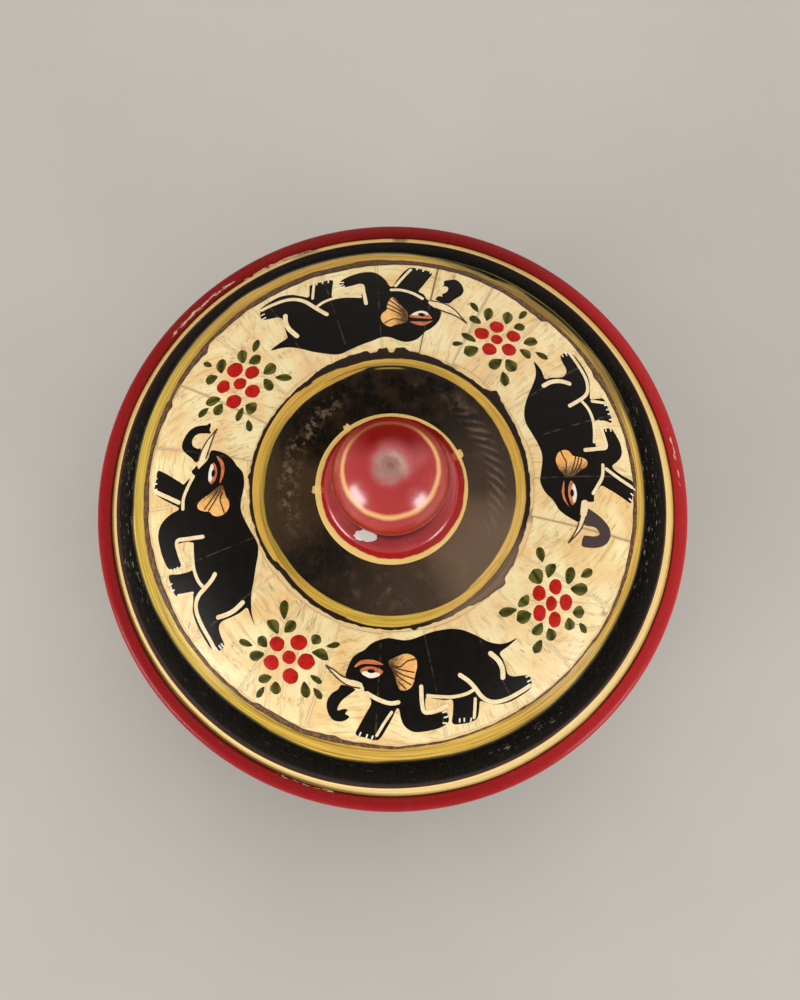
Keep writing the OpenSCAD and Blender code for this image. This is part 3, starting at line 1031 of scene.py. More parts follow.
def one_on_each(tree, points, shape):
    """Sets the shape on each point. What it makes knows as "spot" its place in the shape."""
    place = tree.node("GeometryNodeInputPosition").outputs[0]
    shape = keep(tree, shape, "spot", place, "POINT", "FLOAT_VECTOR")
    feeds = {"Points": points, "Instance": shape}
    shape = tree.fed("GeometryNodeInstanceOnPoints", feeds).outputs[0]
    return tree.fed("GeometryNodeRealizeInstances", {"Geometry": shape}).outputs[0]


def hand_out(tree, shape, material):
    """Shades the shape smooth, dresses it in a material that is a named input, and ends there."""
    shape = tree.fed("GeometryNodeSetShadeSmooth", {"Geometry": shape}).outputs[0]
    feeds = {"Geometry": shape, "Material": tree.source[material]}
    tree.join(tree.fed("GeometryNodeSetMaterial", feeds).outputs[0], tree.target[0])


def settled(name, tree, values, start_mesh, body):
    """Runs a tree once on a start mesh, with its inputs set, and keeps the plain mesh."""
    holder = placed(name + "_maker", start_mesh)
    maker = holder.modifiers.new("made", "NODES")
    maker.node_group = tree.inner
    for item in tree.inner.interface.items_tree:
        if item.in_out == "INPUT" and item.name in values:
            maker[item.identifier] = values[item.name]
    ready = holder.evaluated_get(bpy.context.evaluated_depsgraph_get())
    mesh = bpy.data.meshes.new_from_object(ready)
    mesh.name = name
    bpy.data.objects.remove(holder)
    piece = placed(name, mesh)
    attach(piece, body)
    print(name, "has", len(mesh.polygons), "faces")
    return piece


# %% The rule of the tiles
TILES = 23
FIRST_SEAM = 4.0
SEAM_DRIFT = 4.0
SEAM_JITTER = 0.5
UNEVEN = 137.5
ring = started(
    "ring_of_tiles",
    {
        "Tiles": ("NodeSocketInt", TILES),
        "Thickness": ("NodeSocketFloat", TILE_T),
        "Seam": ("NodeSocketFloat", 0.35),
        "First seam": ("NodeSocketFloat", FIRST_SEAM),
        "Seam drift": ("NodeSocketFloat", SEAM_DRIFT),
        "Ragged": ("NodeSocketFloat", 0.45),
        "Ring in": ("NodeSocketFloat", 0.0),
        "Ring out": ("NodeSocketFloat", 0.0),
        "Worn edge": ("NodeSocketFloat", 0.03),
        "Seed": ("NodeSocketInt", 3),
        "Bone": ("NodeSocketMaterial", None),
    },
)
tiles = number(ring, "Tiles")
tile = Wire(ring, kept(ring, "tile"))


def seam_at(index):
    """The angle of a seam, as the CAD reckons it."""
    even = index * 360 / tiles + number(ring, "First seam")
    drift = (1 - (even * (math.pi / 180)).cos()) * number(ring, "Seam drift")
    jitter = (index.do("MODULO", tiles) * math.radians(UNEVEN)).sin() * SEAM_JITTER
    return even - drift + jitter


def uneven(index, key):
    """An uneven number between 0 and 1."""
    return (index * math.radians(UNEVEN) + math.radians(key * 71)).sin() * 0.5 + 0.5


def swing(length):
    """The lean that a length along the dome takes up."""
    return length * (180 / math.pi / DOME_R)


middle_r = FLAT_R + DOME_R * math.sin(math.radians((recess_in + recess_out) / 2))
gap = number(ring, "Seam") * (180 / math.pi / middle_r)
left = seam_at(tile) + gap * 0.5
right = seam_at(tile + 1) - gap * 0.5
low = number(ring, "Ring in") + swing(number(ring, "Ragged") * uneven(tile, 1))
high = number(ring, "Ring out") - swing(number(ring, "Ragged") * uneven(tile, 2))

# %% Bend a block into each tile
line = ring.fed("GeometryNodeMeshLine", {"Count": ring.source["Tiles"]}).outputs[0]
order = ring.node("GeometryNodeInputIndex").outputs[0]
line = keep(ring, line, "tile", order)
feeds = {"Size": (1, 1, 1), "Vertices X": 24, "Vertices Y": 42, "Vertices Z": 2}
block = ring.fed("GeometryNodeMeshCube", feeds).outputs[0]
shape = one_on_each(ring, line, block)
u, v, w = ring.parts(kept(ring, "spot", "FLOAT_VECTOR"))
u = (u * math.pi).sin() * 0.5
v = (v * math.pi).sin() * 0.5
wide = (right - left) * (math.pi / 180 * middle_r)
long = (high - low) * (math.pi / 180 * DOME_R)
from_side = (0.5 - u.size()) * wide
from_end = (0.5 - v.size()) * long
margin = from_side.at_most(from_end)
worn = (1 - margin / 0.4).at_least(0)
lift = (w - 0.5) * number(ring, "Thickness")
lift = lift - worn * worn * number(ring, "Worn edge") * (w + 0.5)
shape = keep(ring, shape, "across", u * wide)
shape = keep(ring, shape, "along", v * long)
shape = keep(ring, shape, "margin", margin)
chance = ring.node("FunctionNodeRandomValue", data_type="FLOAT")
ring.join(tile, chance.inputs["ID"])
ring.join(ring.source["Seed"], chance.inputs["Seed"])
shape = keep(ring, shape, "shade", chance.outputs[1])
angle = left + (right - left) * (u + 0.5)
leaning = low + (high - low) * (v + 0.5)
hand_out(ring, wrapped(ring, shape, angle, leaning, lift), "Bone")

# %% Run the rule, and print how far the ring reaches beside the CAD's tiles
CEMENT_IN = 1.1
CEMENT_OUT = 1.4
ring_values = {
    "Ring in": recess_in + CEMENT_IN * 180 / math.pi / DOME_R,
    "Ring out": recess_out - CEMENT_OUT * 180 / math.pi / DOME_R,
    "Bone": bone_finish.material,
}
tile_ring = settled("bone_ring", ring, ring_values, bpy.data.meshes.new("empty"), "lid_assembly")
tile_ring.data.set_sharp_from_angle(angle=math.radians(50))
tile_names = sorted(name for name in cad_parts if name.startswith("bone_tile"))
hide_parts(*tile_names)
cad_spots = [v for name in tile_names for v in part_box(name)]
print("CAD ring out to", round(max(s[0] for s in cad_spots) / MM, 2), "mm")
print("This ring out to", round(max(v.co.x for v in tile_ring.data.vertices) / MM, 2), "mm")

# %% [markdown]
# ## Lac cement
# Dark cement beds the tiles. It shows as brown seams between them, as a black ring inside and a
# purple-brown ring outside, and in both rings it was smeared over the ends of the tiles by hand.
# The bed itself is the CAD's own node with a better finish. The smears are thin films over it
# that end where the rows above say, with a fine ripple added. In places the gold was pressed on
# over the cement afterwards, so two films of lacquer carry the gold on over it.

# %% Finish of the cement
OLD_PLACES = [
    (78.5, 4, 0.9), (152.3, 4, 0.45), (168.7, 4, 0.35), (348.6, 4, 0.6), (4, 4, 0.25), (64.1, 4, 0.35),
]


def cement(name, dark_end, umber_start, rimmed=False):
    """Cement that is near black inside a radius, umber outside another, and bone dust between.

    The mesh of a smear carries how near a point is to the rim, where dirt has gathered.
    """
    made = Finish(name)
    made.turned()
    rings_run = made.streaks(2.0, 4.0, made.r)
    crumb = made.noise(made.spot, 1.1, 5.0, 0.7)
    lump = made.noise(made.spot, 0.4, 3.0, 0.6)
    old = sides(made, *OLD_PLACES)
    old = (old * made.step(crumb, 0.2, 0.5) + made.step(lump, 0.6, 0.75) * 0.25).at_most(1)
    # Painted light: the bed in the seams between the tiles is painted lighter than at the tiles' ends,
    # offsetting the shade of the deep seams.
    between = made.step(made.r, 31.75, 31.95) * (1 - made.step(made.r, 55.9, 56.0))
    dust = made.mix(between, colour(240, 206, 146), colour(255, 232, 182))
    tint = made.mix(old, dust, colour(118, 80, 46))
    dark = made.mix(crumb, colour(12, 6, 2), colour(44, 25, 10))
    # Painted reflection: near 315 degrees the dark cement is painted a paler grey-brown.
    dark = made.mix(toward(made, 315, 32) * 0.7, dark, colour(150, 122, 98))
    umber = made.laid(
        made.mix(made.step(crumb, 0.4, 0.65), colour(76, 46, 22), colour(144, 108, 76)),
        (made.step(lump, 0.5, 0.7) * 0.5, 118, 92, 84),
        (toward(made, 95, 44) * 0.5, 58, 32, 12),
        (rings_run * 0.4, 92, 56, 30),
    )
    edge = made.r + made.east * 0.2 - made.north * 0.12 + (lump - 0.5) * 0.5
    tint = made.mix(made.step(edge, dark_end - 0.1, dark_end + 0.1), dark, tint)
    tint = made.mix(made.step(edge, umber_start - 0.1, umber_start + 0.1), tint, umber)
    if rimmed:
        rim = carried(made, "rim") * made.step(crumb, 0.25, 0.5)
        tint = made.mix(rim * 0.6, tint, colour(52, 30, 16))
    made.finish(tint, crumb * 0.3 + 0.35, crumb + rings_run * 0.4, 0.12, 0.2)
    return made


cement_finish = cement("lac_cement", 30.4, 57.2)
smear_finish = cement("lac_cement_smeared", 36, 50, rimmed=True)
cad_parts["tile_bed"].data.materials.clear()
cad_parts["tile_bed"].data.materials.append(cement_finish.material)


# %% Smear cement along both rings
def on_dome(angle, r, lift):
    """The point of the dome's surface at an angle in degrees and a radius in mm, lifted."""
    tip = math.asin(max(0, r - FLAT_R) / DOME_R)
    reach = r + lift * math.sin(tip)
    high = FLAT_Z - DOME_R + (DOME_R + lift) * math.cos(tip)
    turned = math.radians(angle)
    return (reach * math.cos(turned), reach * math.sin(turned), high)


def ripple(angle, key):
    """Fine waves, about a tenth of a millimetre high."""
    turned = math.radians(angle)
    total = 0.05 * math.sin(31 * turned + key * 3.1) + 0.05 * math.sin(67 * turned + key)
    return total + 0.03 * math.sin(113 * turned + key * 1.7)


def smear(name, near, far, thick, finish):
    """A film round the whole ring, from near(angle) to far(angle) in mm."""
    count = 1080
    shares = [(0, -0.05), (0.0, 0.5), (0.1, 0.9), (0.35, 1.0), (0.65, 1.0), (0.9, 0.9), (1, 0.5), (1, -0.05)]
    points = []
    for i in range(count):
        angle = 360 * i / count
        start = near(angle)
        end = far(angle)
        for share, rise in shares:
            lift = thick * rise if rise > 0 else rise
            points.append(on_dome(angle, start + (end - start) * share, lift))
    faces = []
    size = len(shares)
    for i in range(count):
        here = i * size
        there = (i + 1) % count * size
        for j in range(size):
            k = (j + 1) % size
            faces.append((here + j, here + k, there + k, there + j))
    piece = dressed(name, points, faces, [finish])
    carry_edges(piece)
    rims = [1 - min(1, min(share, 1 - share) * 4) for share, rise in shares] * count
    carry(piece.data, "rim", rims)


smear(
    "cement_inner",
    lambda a: min(29.9, edge_at(a, INNER, 2)) + ripple(a, 1.0) * 0.5,
    lambda a: edge_at(a, INNER, 3) + ripple(a, 2.0),
    0.06,
    smear_finish,
)
smear(
    "gold_over_inner",
    lambda a: 29.0 + (30.1 - 29.0) * (edge_at(a, INNER, 2) < 29.9),
    lambda a: max(30.15, edge_at(a, INNER, 2) + 0.08),
    0.09,
    lid_finish,
)
smear(
    "cement_outer",
    lambda a: edge_at(a, OUTER, 1) + ripple(a, 4.0),
    lambda a: max(57.6, edge_at(a, OUTER, 2) + 0.1) + ripple(a, 5.0) * 0.5,
    0.06,
    smear_finish,
)
smear(
    "gold_over_outer",
    lambda a: edge_at(a, OUTER, 2) + ripple(a, 6.0) * 0.8,
    lambda a: max(58.3, edge_at(a, OUTER, 2) + 0.4),
    0.09,
    lid_finish,
)
print("Two rings of smeared cement are laid, with gold over their edges")

# %% [markdown]
# ## Paint as a thin film
# The animals are painted over the tiles, and brush paint has a body: a film of a few hundredths
# of a millimetre with a soft shoulder. So each touch of the brush is drawn flat, as an outline
# in degrees round the lid and millimetres from its axis, filled with small triangles, and laid
# on the dome with its own height. Corners are rounded by a curve through the points, as a brush
# rounds them. A line is a touch too: it is given by its middle and its width, with round ends.

# %% Draw flat touches of the brush
SHEET_R = 44
FLAT_MM = math.radians(SHEET_R)


def flat(points):
    """From degrees and radius to millimetres on a sheet."""
    return [Vector((angle * FLAT_MM, r)) for angle, r in points]


def squeezed(step, r):
    """A short step on the sheet, which is too wide inside its middle radius."""
    return Vector((step.x * SHEET_R / r, step.y))


def curved(points, closed, steps=4):
    """A smooth curve that passes through all the points."""
    count = len(points)
    made = []
    for i in range(count if closed else count - 1):
        places = range(i - 1, i + 3)
        if closed:
            a, b, c, d = [points[k % count] for k in places]
        else:
            a, b, c, d = [points[min(max(k, 0), count - 1)] for k in places]
        square = a * 2 - b * 5 + c * 4 - d
        cube = b * 3 - a - c * 3 + d
        for j in range(steps):
            t = j / steps
            made.append((b * 2 + (c - a) * t + square * t**2 + cube * t**3) / 2)
    if not closed:
        made.append(points[-1])
    return made


def line_outline(points, width):
    """The outline of a brush line with round ends."""
    middle = curved(flat(points), False, 5)
    ways = []
    for i in range(len(middle)):
        way = middle[min(i + 1, len(middle) - 1)] - middle[max(i - 1, 0)]
        ways.append(way.normalized())
    outline = []
    for points, ways in ((middle, ways), (middle[::-1], [-way for way in ways[::-1]])):
        for point, way in zip(points, ways):
            outline.append(point + squeezed(Vector((-way.y, way.x)) * width / 2, point.y))
        for turn_by in (54, 18, -18, -54):
            t = math.radians(turn_by)
            reach = ways[-1] * math.cos(t) + Vector((-ways[-1].y, ways[-1].x)) * math.sin(t)
            outline.append(points[-1] + squeezed(reach * width / 2, points[-1].y))
    return outline


def dot_outline(angle, r, across, along=None):
    """The outline of a round or oval dot."""
    along = along or across
    middle = Vector((angle * FLAT_MM, r))
    turns = [2 * math.pi * k / 14 for k in range(14)]
    steps = [Vector((across * math.cos(t), along * math.sin(t))) for t in turns]
    return [middle + squeezed(step, r) for step in steps]


# %% Fill a touch and lay it on the dome
FILM_BASE = (0.0, 0.052, 0.1, 0.135)  # mm above the bone, by level
FILM_THICK = (0.06, 0.05, 0.038, 0.03)
FILM_UNDER = -0.03
SHOULDER = 0.4  # of the thickness, at the rim of a film


def inside_of(point, outline):
    """Whether a point lies inside an outline."""
    hit = False
    for a, b in zip(outline, outline[1:] + outline[:1]):
        if (a.y > point.y) != (b.y > point.y):
            if point.x < a.x + (b.x - a.x) * (point.y - a.y) / (b.y - a.y):
                hit = not hit
    return hit


def gap_to(point, outline):
    """The distance from a point to the nearest outline point."""
    return min((point - other).length for other in outline)


def touch(outline, level, pitch=0.9):
    """The points and faces of one closed film. Level 0 lies on the bone, 1 on that, and so on."""
    edge = [Vector(point) for point in outline]
    xs = [point.x for point in edge]
    ys = [point.y for point in edge]
    fill = []
    rows = int((max(ys) - min(ys)) / (pitch * 0.87)) + 1
    columns = int((max(xs) - min(xs)) / pitch) + 2
    for row in range(rows):
        for column in range(columns):
            x = min(xs) + pitch * (column + 0.5 * (row % 2))
            y = min(ys) + pitch * 0.87 * row
            point = Vector((x, y))
            if inside_of(point, edge) and gap_to(point, edge) > pitch * 0.45:
                fill.append(point)
    loop = list(range(len(edge)))
    spots, _, faces, *_ = delaunay_2d_cdt(edge + fill, [], [loop], 1, 1e-5)
    pairs = {}
    for face in faces:
        for a, b in zip(face, face[1:] + face[:1]):
            pairs[(a, b)] = True
    rim = [(a, b) for a, b in pairs if (b, a) not in pairs]
    on_rim = {a for a, b in rim}
    points = []
    for i, spot in enumerate(spots):
        lift = FILM_BASE[level] + FILM_THICK[level] * (SHOULDER if i in on_rim else 1.0)
        points.append(on_dome(spot.x / FLAT_MM, spot.y, lift))
    points += [on_dome(spot.x / FLAT_MM, spot.y, FILM_UNDER) for spot in spots]
    count = len(spots)
    solid = [tuple(reversed(face)) for face in faces]
    solid += [tuple(i + count for i in face) for face in faces]
    solid += [(a, b, b + count, a + count) for a, b in rim]
    return points, solid


# %% [markdown]
# ## Paints
# The paints of the animals are few: black, cream, white, two of orange and a brown for fine
# lines. Each is mixed from two shades that lie in short strokes, as the hairs of a brush leave
# them. Where a film was drawn out thin the bone shows through, and a number that the mesh
# carries says how thin it is. Black paint is kept duller than lacquer, or it would mirror the
# pale room and come out grey. It cracked a little over the seams of the tiles beneath it.

# %% Mix the paints
def paint(name, first, second, gloss, shine=0.2):
    """A paint of two shades, with the fine lines that the hairs of the brush leave."""
    made = Finish(name)
    hairs = made.noise(made.vector(made.x * 0.9, made.y * 3.0, made.z), 1.0, 4.0, 0.6, 1.5)
    body = made.noise(made.spot, 0.45, 4.0, 0.6)
    tint = made.mix(made.step(hairs * 0.6 + body * 0.4, 0.38, 0.62), first, second)
    made.finish(tint, body * 0.2 + gloss, hairs + body, 0.05, shine)
    made.tint = tint
    return made


def retint(made, share, other):
    """Lets another colour take over where share is 1."""
    made.join(made.mix(share, made.tint, other), made.shader.inputs["Base Color"])


def seam_place(index):
    """The angle of a seam in degrees, by the same sum as in the ring of tiles."""
    even = index * 360 / TILES + FIRST_SEAM
    drift = SEAM_DRIFT * (1 - math.cos(math.radians(even)))
    return even - drift + SEAM_JITTER * math.sin(math.radians(UNEVEN * index))


# %% [markdown]
# Six paints serve all four animals. Only the black and the orange of the ears need more than
# their two shades: the black is thin in one trunk and cracked over the seams, and an ear is
# darker and streaked where it joins the head.

# %% The paints of the animals
black_paint = paint("paint_black", colour(9, 6, 4), colour(20, 14, 10), 0.34, 0.1)
black_paint.turned()
thin = carried(black_paint, "fade")
cracked = thin * 0
for index in range(TILES):
    cracked = cracked + toward(black_paint, seam_place(index), 0.28)
flaked = black_paint.step(black_paint.noise(black_paint.spot, 0.5, 2.0), 0.42, 0.6)
black_paint.tint = black_paint.mix(cracked * flaked * 0.16, black_paint.tint, colour(150, 138, 116))
retint(black_paint, thin * 0.5, colour(112, 92, 92))
ear_paint = paint("paint_ear", colour(255, 206, 128), colour(248, 172, 88), 0.3)
ear_streak = ear_paint.noise(ear_paint.spot, 1.6, 3.0, 0.6) - 0.5
near_head = ear_paint.step(carried(ear_paint, "fade") + ear_streak * 0.7, 0.36, 0.9)
retint(ear_paint, near_head * 0.9, colour(62, 28, 10))
cream_paint = paint("paint_cream", colour(255, 238, 196), colour(240, 208, 152), 0.32)
white_paint = paint("paint_white", colour(255, 248, 232), colour(240, 222, 190), 0.35)
orange_paint = paint("paint_orange", colour(228, 140, 88), colour(186, 88, 46), 0.35)
brown_paint = paint("paint_brown", colour(96, 54, 26), colour(56, 28, 14), 0.4)
PAINTS = [black_paint, cream_paint, ear_paint, orange_paint, white_paint, brown_paint]
BLACK, CREAM, EAR, ORANGE, WHITE, BROWN = range(6)

# %% [markdown]
# ## The elephants
# Each elephant was painted in the same order, and so it is here: the black body first, the
# trunk on its own, then the tusk, the ear, and the cream lines that part the legs from the
# belly, and last the eye. The four aren't copies of each other. The painter followed one habit
# and not one stencil, so each one has its own outline and its own lines.

# %% Paint one elephant
HALF_NAIL = 0.33
NAIL_LINE = 0.34
FOLD_LINE = 0.3


def nail_strokes(nails):
    """A short stroke for each toenail, square to the row in which the nails of a foot stand."""
    strokes = []
    for i, nail in enumerate(nails):
        here = flat([nail])[0]
        others = [flat([other])[0] for j, other in enumerate(nails) if j != i]
        next_one = min(others, key=lambda spot: math.dist(spot, here))
        across = math.atan2(next_one[1] - here[1], next_one[0] - here[0]) + math.pi / 2
        part = (HALF_NAIL * math.cos(across) / FLAT_MM, HALF_NAIL * math.sin(across))
        strokes.append([(nail[0] - part[0], nail[1] - part[1]), (nail[0] + part[0], nail[1] + part[1])])
    return strokes


def elephant(name, body, trunk, tusk, lines, ear, folds, eye, pupil, brow, nails, thin_trunk=0.0):
    """Lays all touches of one elephant: points are degrees round the lid and mm from its axis."""
    touches = [(curved(flat(body), True), 0, BLACK)]
    touches.append((curved(flat(trunk), True), 0, BLACK))
    outer, inner = tusk
    touches.append((curved(flat(outer + inner), True, 3), 1, CREAM))
    touches.append((line_outline(outer[1:], 0.3), 2, BROWN))
    touches.append((line_outline([outer[-1]] + inner[:-1], 0.26), 2, BROWN))
    touches += [(line_outline(points, width), 1, CREAM) for width, *points in lines]
    touches.append((curved(flat(ear), True), 1, EAR))
    touches += [(line_outline(fold, FOLD_LINE), 2, BROWN) for fold in folds]
    touches.append((curved(flat(eye), True), 1, ORANGE))
    pairs = [(0, 1), (1, 1), (2, 2), (3, 3), (4, 3), (3, 5), (2, 6), (1, 7)]
    white = [((eye[a][0] + eye[b][0]) / 2, (eye[a][1] + eye[b][1]) / 2) for a, b in pairs]
    touches.append((curved(flat(white), True), 2, WHITE))
    touches.append((dot_outline(*pupil, 0.85, 0.42), 3, BLACK))
    touches.append((curved(flat(brow), True, 3), 1, ORANGE))
    touches += [(line_outline(stroke, NAIL_LINE), 1, WHITE) for stroke in nail_strokes(nails)]
    points = []
    faces = []
    numbers = []
    fades = []
    for number, (outline, level, kind) in enumerate(touches):
        new_points, new_faces = touch(outline, level)
        start = len(points)
        points += new_points
        faces += [tuple(start + i for i in face) for face in new_faces]
        numbers += [kind] * len(new_faces)
        if kind == EAR:
            angles = [math.degrees(math.atan2(y, x)) % 360 for x, y, z in new_points]
            far, close = max(angles), min(angles)
            fades += [(far - angle) / (far - close) for angle in angles]
        else:
            fades += [thin_trunk if number == 1 else 0.0] * len(new_points)
    piece = dressed(name, points, faces, PAINTS, numbers)
    carry(piece.data, "fade", fades)
    print(name, "has", len(touches), "touches and", len(faces), "faces")


# %% The elephant on the right
elephant(
    "elephant_right",
    body=[
        (42.4, 44.1), (39, 44), (36.2, 43.3), (35.6, 44.6), (34.4, 46.4), (34, 47.9), (35, 49.4),
        (38, 50.1), (39.3, 50.9), (39.2, 52), (38.3, 53.2), (37.3, 54), (34, 54), (31, 53.6),
        (28.8, 52.7), (27, 51.6), (25.2, 50.9), (24.7, 53), (23.9, 54.4), (18.2, 53.9), (18.8, 52),
        (19.3, 49.2), (17, 48.9), (15, 48.3), (12.2, 47.6), (12.2, 50), (15.5, 50.6), (16.6, 50.8),
        (16.6, 52.6), (15.8, 53.4), (13, 54.2), (11, 54.3), (9.3, 53.8), (8, 52.5), (7, 51),
        (6.4, 50.8), (5.5, 51.5), (4.2, 53.4), (3.2, 55.6), (2.4, 56.2), (0.5, 55.9), (-2.2, 55.2),
        (-1.8, 53.8), (-0.6, 51.5), (0.6, 49.2), (1.4, 47.5), (0.5, 46.6), (-1.5, 45.5),
        (-3.2, 45.4), (-3.5, 44), (-3.6, 43.2), (-4.5, 42.3), (-9.6, 42.2), (-9.7, 41), (-9, 39.5),
        (-8, 38), (-6.8, 37), (-5.2, 36.3), (-4, 35.6), (-3, 34.9), (-2, 34.2), (0, 33.4),
        (2.5, 32.9), (5, 33.1), (8, 33.6), (11, 34.1), (14, 34.3), (18, 34), (22, 33.6),
        (26, 33.4), (29.5, 34.1), (32.5, 35.6), (35, 37.8), (37, 40.2), (38.6, 41.9), (40.3, 43.1),
    ],
    trunk=[
        (-5.6, 43.4), (-6.6, 46.2), (-8.4, 48.7), (-10, 50), (-11.8, 50.4), (-13.8, 49.8),
        (-15.3, 48.3), (-16.2, 46.4), (-16.7, 44.3), (-15.6, 43.8), (-13.6, 44), (-13.2, 45.2),
        (-12.8, 46.7), (-12, 47.6), (-11.1, 47.2), (-10.4, 46), (-10.2, 43.4),
    ],
    tusk=(
        [(-3.6, 44), (-8, 43.7), (-12, 42.9), (-15.2, 41.6), (-17, 40.8)],
        [(-15, 41.3), (-12, 42), (-8, 42.4), (-3.6, 42.4)],
    ),
    lines=[
        (
            0.85, (38.3, 53.3), (35, 53.1), (31, 52.7), (28.5, 51.8), (27, 50.6), (26.3, 49),
            (25.9, 47), (25.6, 44.9),
        ),
        (1.0, (31.4, 47.9), (33.3, 46.1), (34.4, 44), (34.6, 41.9)),
        (0.75, (25.4, 48.4), (23, 49), (20, 49), (17, 48.4), (13.7, 47.4)),
        (0.7, (24.6, 50.9), (23.2, 54)),
        (0.9, (18.9, 50.3), (15, 50.3), (11.9, 50.1), (11.7, 48), (11.8, 44.6)),
        (0.8, (6, 49), (3.6, 52), (1.6, 55.5)),
        (0.8, (7.1, 48.3), (4, 47.8), (1.5, 46.5), (-0.9, 45.2)),
    ],
    ear=[
        (8.2, 44.5), (6.8, 44), (5.8, 42.4), (4.2, 40.6), (4.3, 39), (5, 38.3), (7, 37.4),
        (10, 37.1), (12.2, 38), (12.9, 39.4), (12.2, 40.6), (10.6, 41.3), (10.1, 42.4), (9.3, 43.9),
    ],
    folds=[
        [(12.6, 38.7), (10.5, 39), (8.8, 39.4), (5.2, 38.9)],
        [(10.2, 41.9), (7.5, 41), (4.6, 39.9)],
        [(9.8, 42.6), (7.2, 41.7), (5, 40.6)],
        [(9.3, 43.2), (7.3, 42.6), (5.4, 41.4)],
    ],
    eye=[
        (2.7, 40), (0.8, 40.9), (-1.5, 41.2), (-3.6, 41), (-5.1, 40.3), (-3.8, 39.6),
        (-1.5, 39.2), (0.8, 39.3),
    ],
    pupil=(-1.3, 40.1),
    brow=[
        (2.7, 38.3), (0, 37.8), (-1.5, 37.7), (-4, 38.3), (-6, 39.7), (-5.3, 39.3), (-3, 38.5),
        (-1.5, 38.3), (0, 38.3),
    ],
    nails=[
        (22.6, 54.1), (21.4, 54.1), (20.2, 54), (18.7, 53.8), (16.3, 52.7), (16.5, 51.4),
        (1.2, 56.1), (-0.2, 55.5), (-1.5, 55), (38.8, 52.3), (39.1, 51.2),
    ],
    thin_trunk=0.8,
)

# %% The elephant at the top
elephant(
    "elephant_top",
    body=[
        (130.5, 42.5), (127, 42.6), (124.2, 42.6), (123.6, 43.6), (122.9, 45.3), (122.1, 47.6),
        (122.8, 49), (125, 50), (126.5, 51.1), (126.2, 52.6), (125.4, 53.6), (124.8, 54.4),
        (122, 54.6), (119.2, 54.4), (116.6, 53.3), (114.6, 51.6), (112.8, 50.3), (111.9, 52.2),
        (111.1, 53.7), (108.5, 53.6), (105.4, 53.1), (106.1, 50.5), (106.8, 47.7), (104, 47.6),
        (101, 47), (98.8, 46.4), (98.2, 49.9), (102, 49.9), (103.3, 50.2), (103.9, 51.2),
        (103.3, 52.2), (101.5, 53), (99, 53.6), (96.8, 53.8), (94.6, 53.4), (93, 52.2),
        (91.6, 50.6), (90.6, 48.8), (89.6, 48.7), (88.6, 50.6), (87.2, 53), (85.8, 54.8),
        (84.8, 55.1), (82, 54.8), (79.9, 54.3), (79.8, 53.3), (80.7, 51.2), (81.6, 49.2),
        (82.4, 47.6), (80.8, 46.9), (79.8, 45.7), (78.9, 45.4), (78.9, 44.8), (78, 44.2),
        (75.4, 43.6), (74.6, 43), (74.4, 41.2), (75, 39.6), (76.2, 38.2), (78, 37), (79.1, 35.8),
        (80.3, 34.8), (82.5, 34), (85.1, 33.7), (88, 34.1), (90.5, 34.7), (93.5, 34.8),
        (97.5, 34.1), (102.5, 33.5), (107, 33), (110.5, 32.8), (113.5, 33.4), (117, 34.8),
        (120, 36.4), (122.4, 38.2), (125, 40), (127.6, 41.3),
    ],
    trunk=[
        (73.4, 45.8), (72, 47.6), (70.8, 49.2), (70.5, 50.7), (71.3, 52.2), (72.6, 53.3),
        (73.8, 53.6), (75, 53), (76.2, 52.2), (76, 51), (76.3, 50.4), (75.4, 50.7), (74.7, 50.4),
        (74.6, 49.5), (75, 48.7), (75.8, 48.1), (75.5, 47.4), (76.6, 47.2), (77, 46),
    ],
    tusk=(
        [(79.1, 44.8), (78.3, 45.4), (76, 45.5), (73.5, 45.3), (71, 44.6), (68.5, 43.4), (66, 42.3)],
        [(68.8, 42.9), (71, 43.2), (74, 43.3), (76.5, 43.6), (78, 44.1)],
    ),
    lines=[
        (
            0.95, (124.9, 53.6), (122, 53.2), (118.5, 52.4), (116, 51.1), (114.2, 49.3),
            (112.9, 47.3), (111.6, 45.4), (110, 43.6),
        ),
        (1.1, (120.9, 48.2), (121.9, 46.3), (122.1, 44.2), (121.3, 41.6)),
        (0.7, (111.9, 46.6), (109, 47.3), (104.6, 47.3), (99, 46.2)),
        (0.65, (112, 49.4), (110.2, 53.5)),
        (0.85, (104.8, 49.2), (101, 49.4), (98.2, 49.6), (97.9, 47.5), (97.7, 44)),
        (0.7, (88.9, 48.7), (87, 51.5), (85.2, 54.3)),
        (0.75, (90.1, 47.5), (87.3, 47.5), (84, 46.8), (81, 45.6)),
    ],
    ear=[
        (89.7, 45.3), (88.6, 44.6), (86.8, 42.8), (85, 41.4), (84.6, 40.2), (84.8, 38.8),
        (86.5, 38.2), (88.5, 37.9), (90.2, 37.4), (92, 37.8), (93.3, 38.9), (93.5, 40.1),
        (92.7, 41.1), (91.6, 41.8), (91.3, 43.2), (90.6, 44.6),
    ],
    folds=[
        [(92.3, 38.3), (90, 39.2), (88.5, 39.4), (85, 38.9)],
        [(91.5, 42.3), (88, 41), (85.2, 40)],
        [(91.1, 43.3), (88.3, 42), (85.6, 40.7)],
        [(90.6, 44.4), (88.3, 43), (86, 41.4)],
        [(89.5, 45), (87.5, 43.3)],
    ],
    eye=[
        (84.2, 40.2), (82.9, 41.3), (81, 42.1), (79.2, 42.1), (77.6, 41.3), (76.9, 40.6),
        (79, 40.3), (81.5, 40.1),
    ],
    pupil=(80.3, 41.1),
    brow=[(83.9, 38.9), (81, 38.3), (78.5, 38.6), (76.4, 40.1), (78.5, 39.5), (81, 39.2)],
    nails=[
        (83.6, 54.8), (82, 54.5), (80.1, 54.2), (103.2, 51.6), (103.5, 50.8), (103.2, 50.1), (125.6, 52.2),
        (125.9, 51), (109.5, 53.5), (108, 53.3), (106.5, 53),
    ],
)

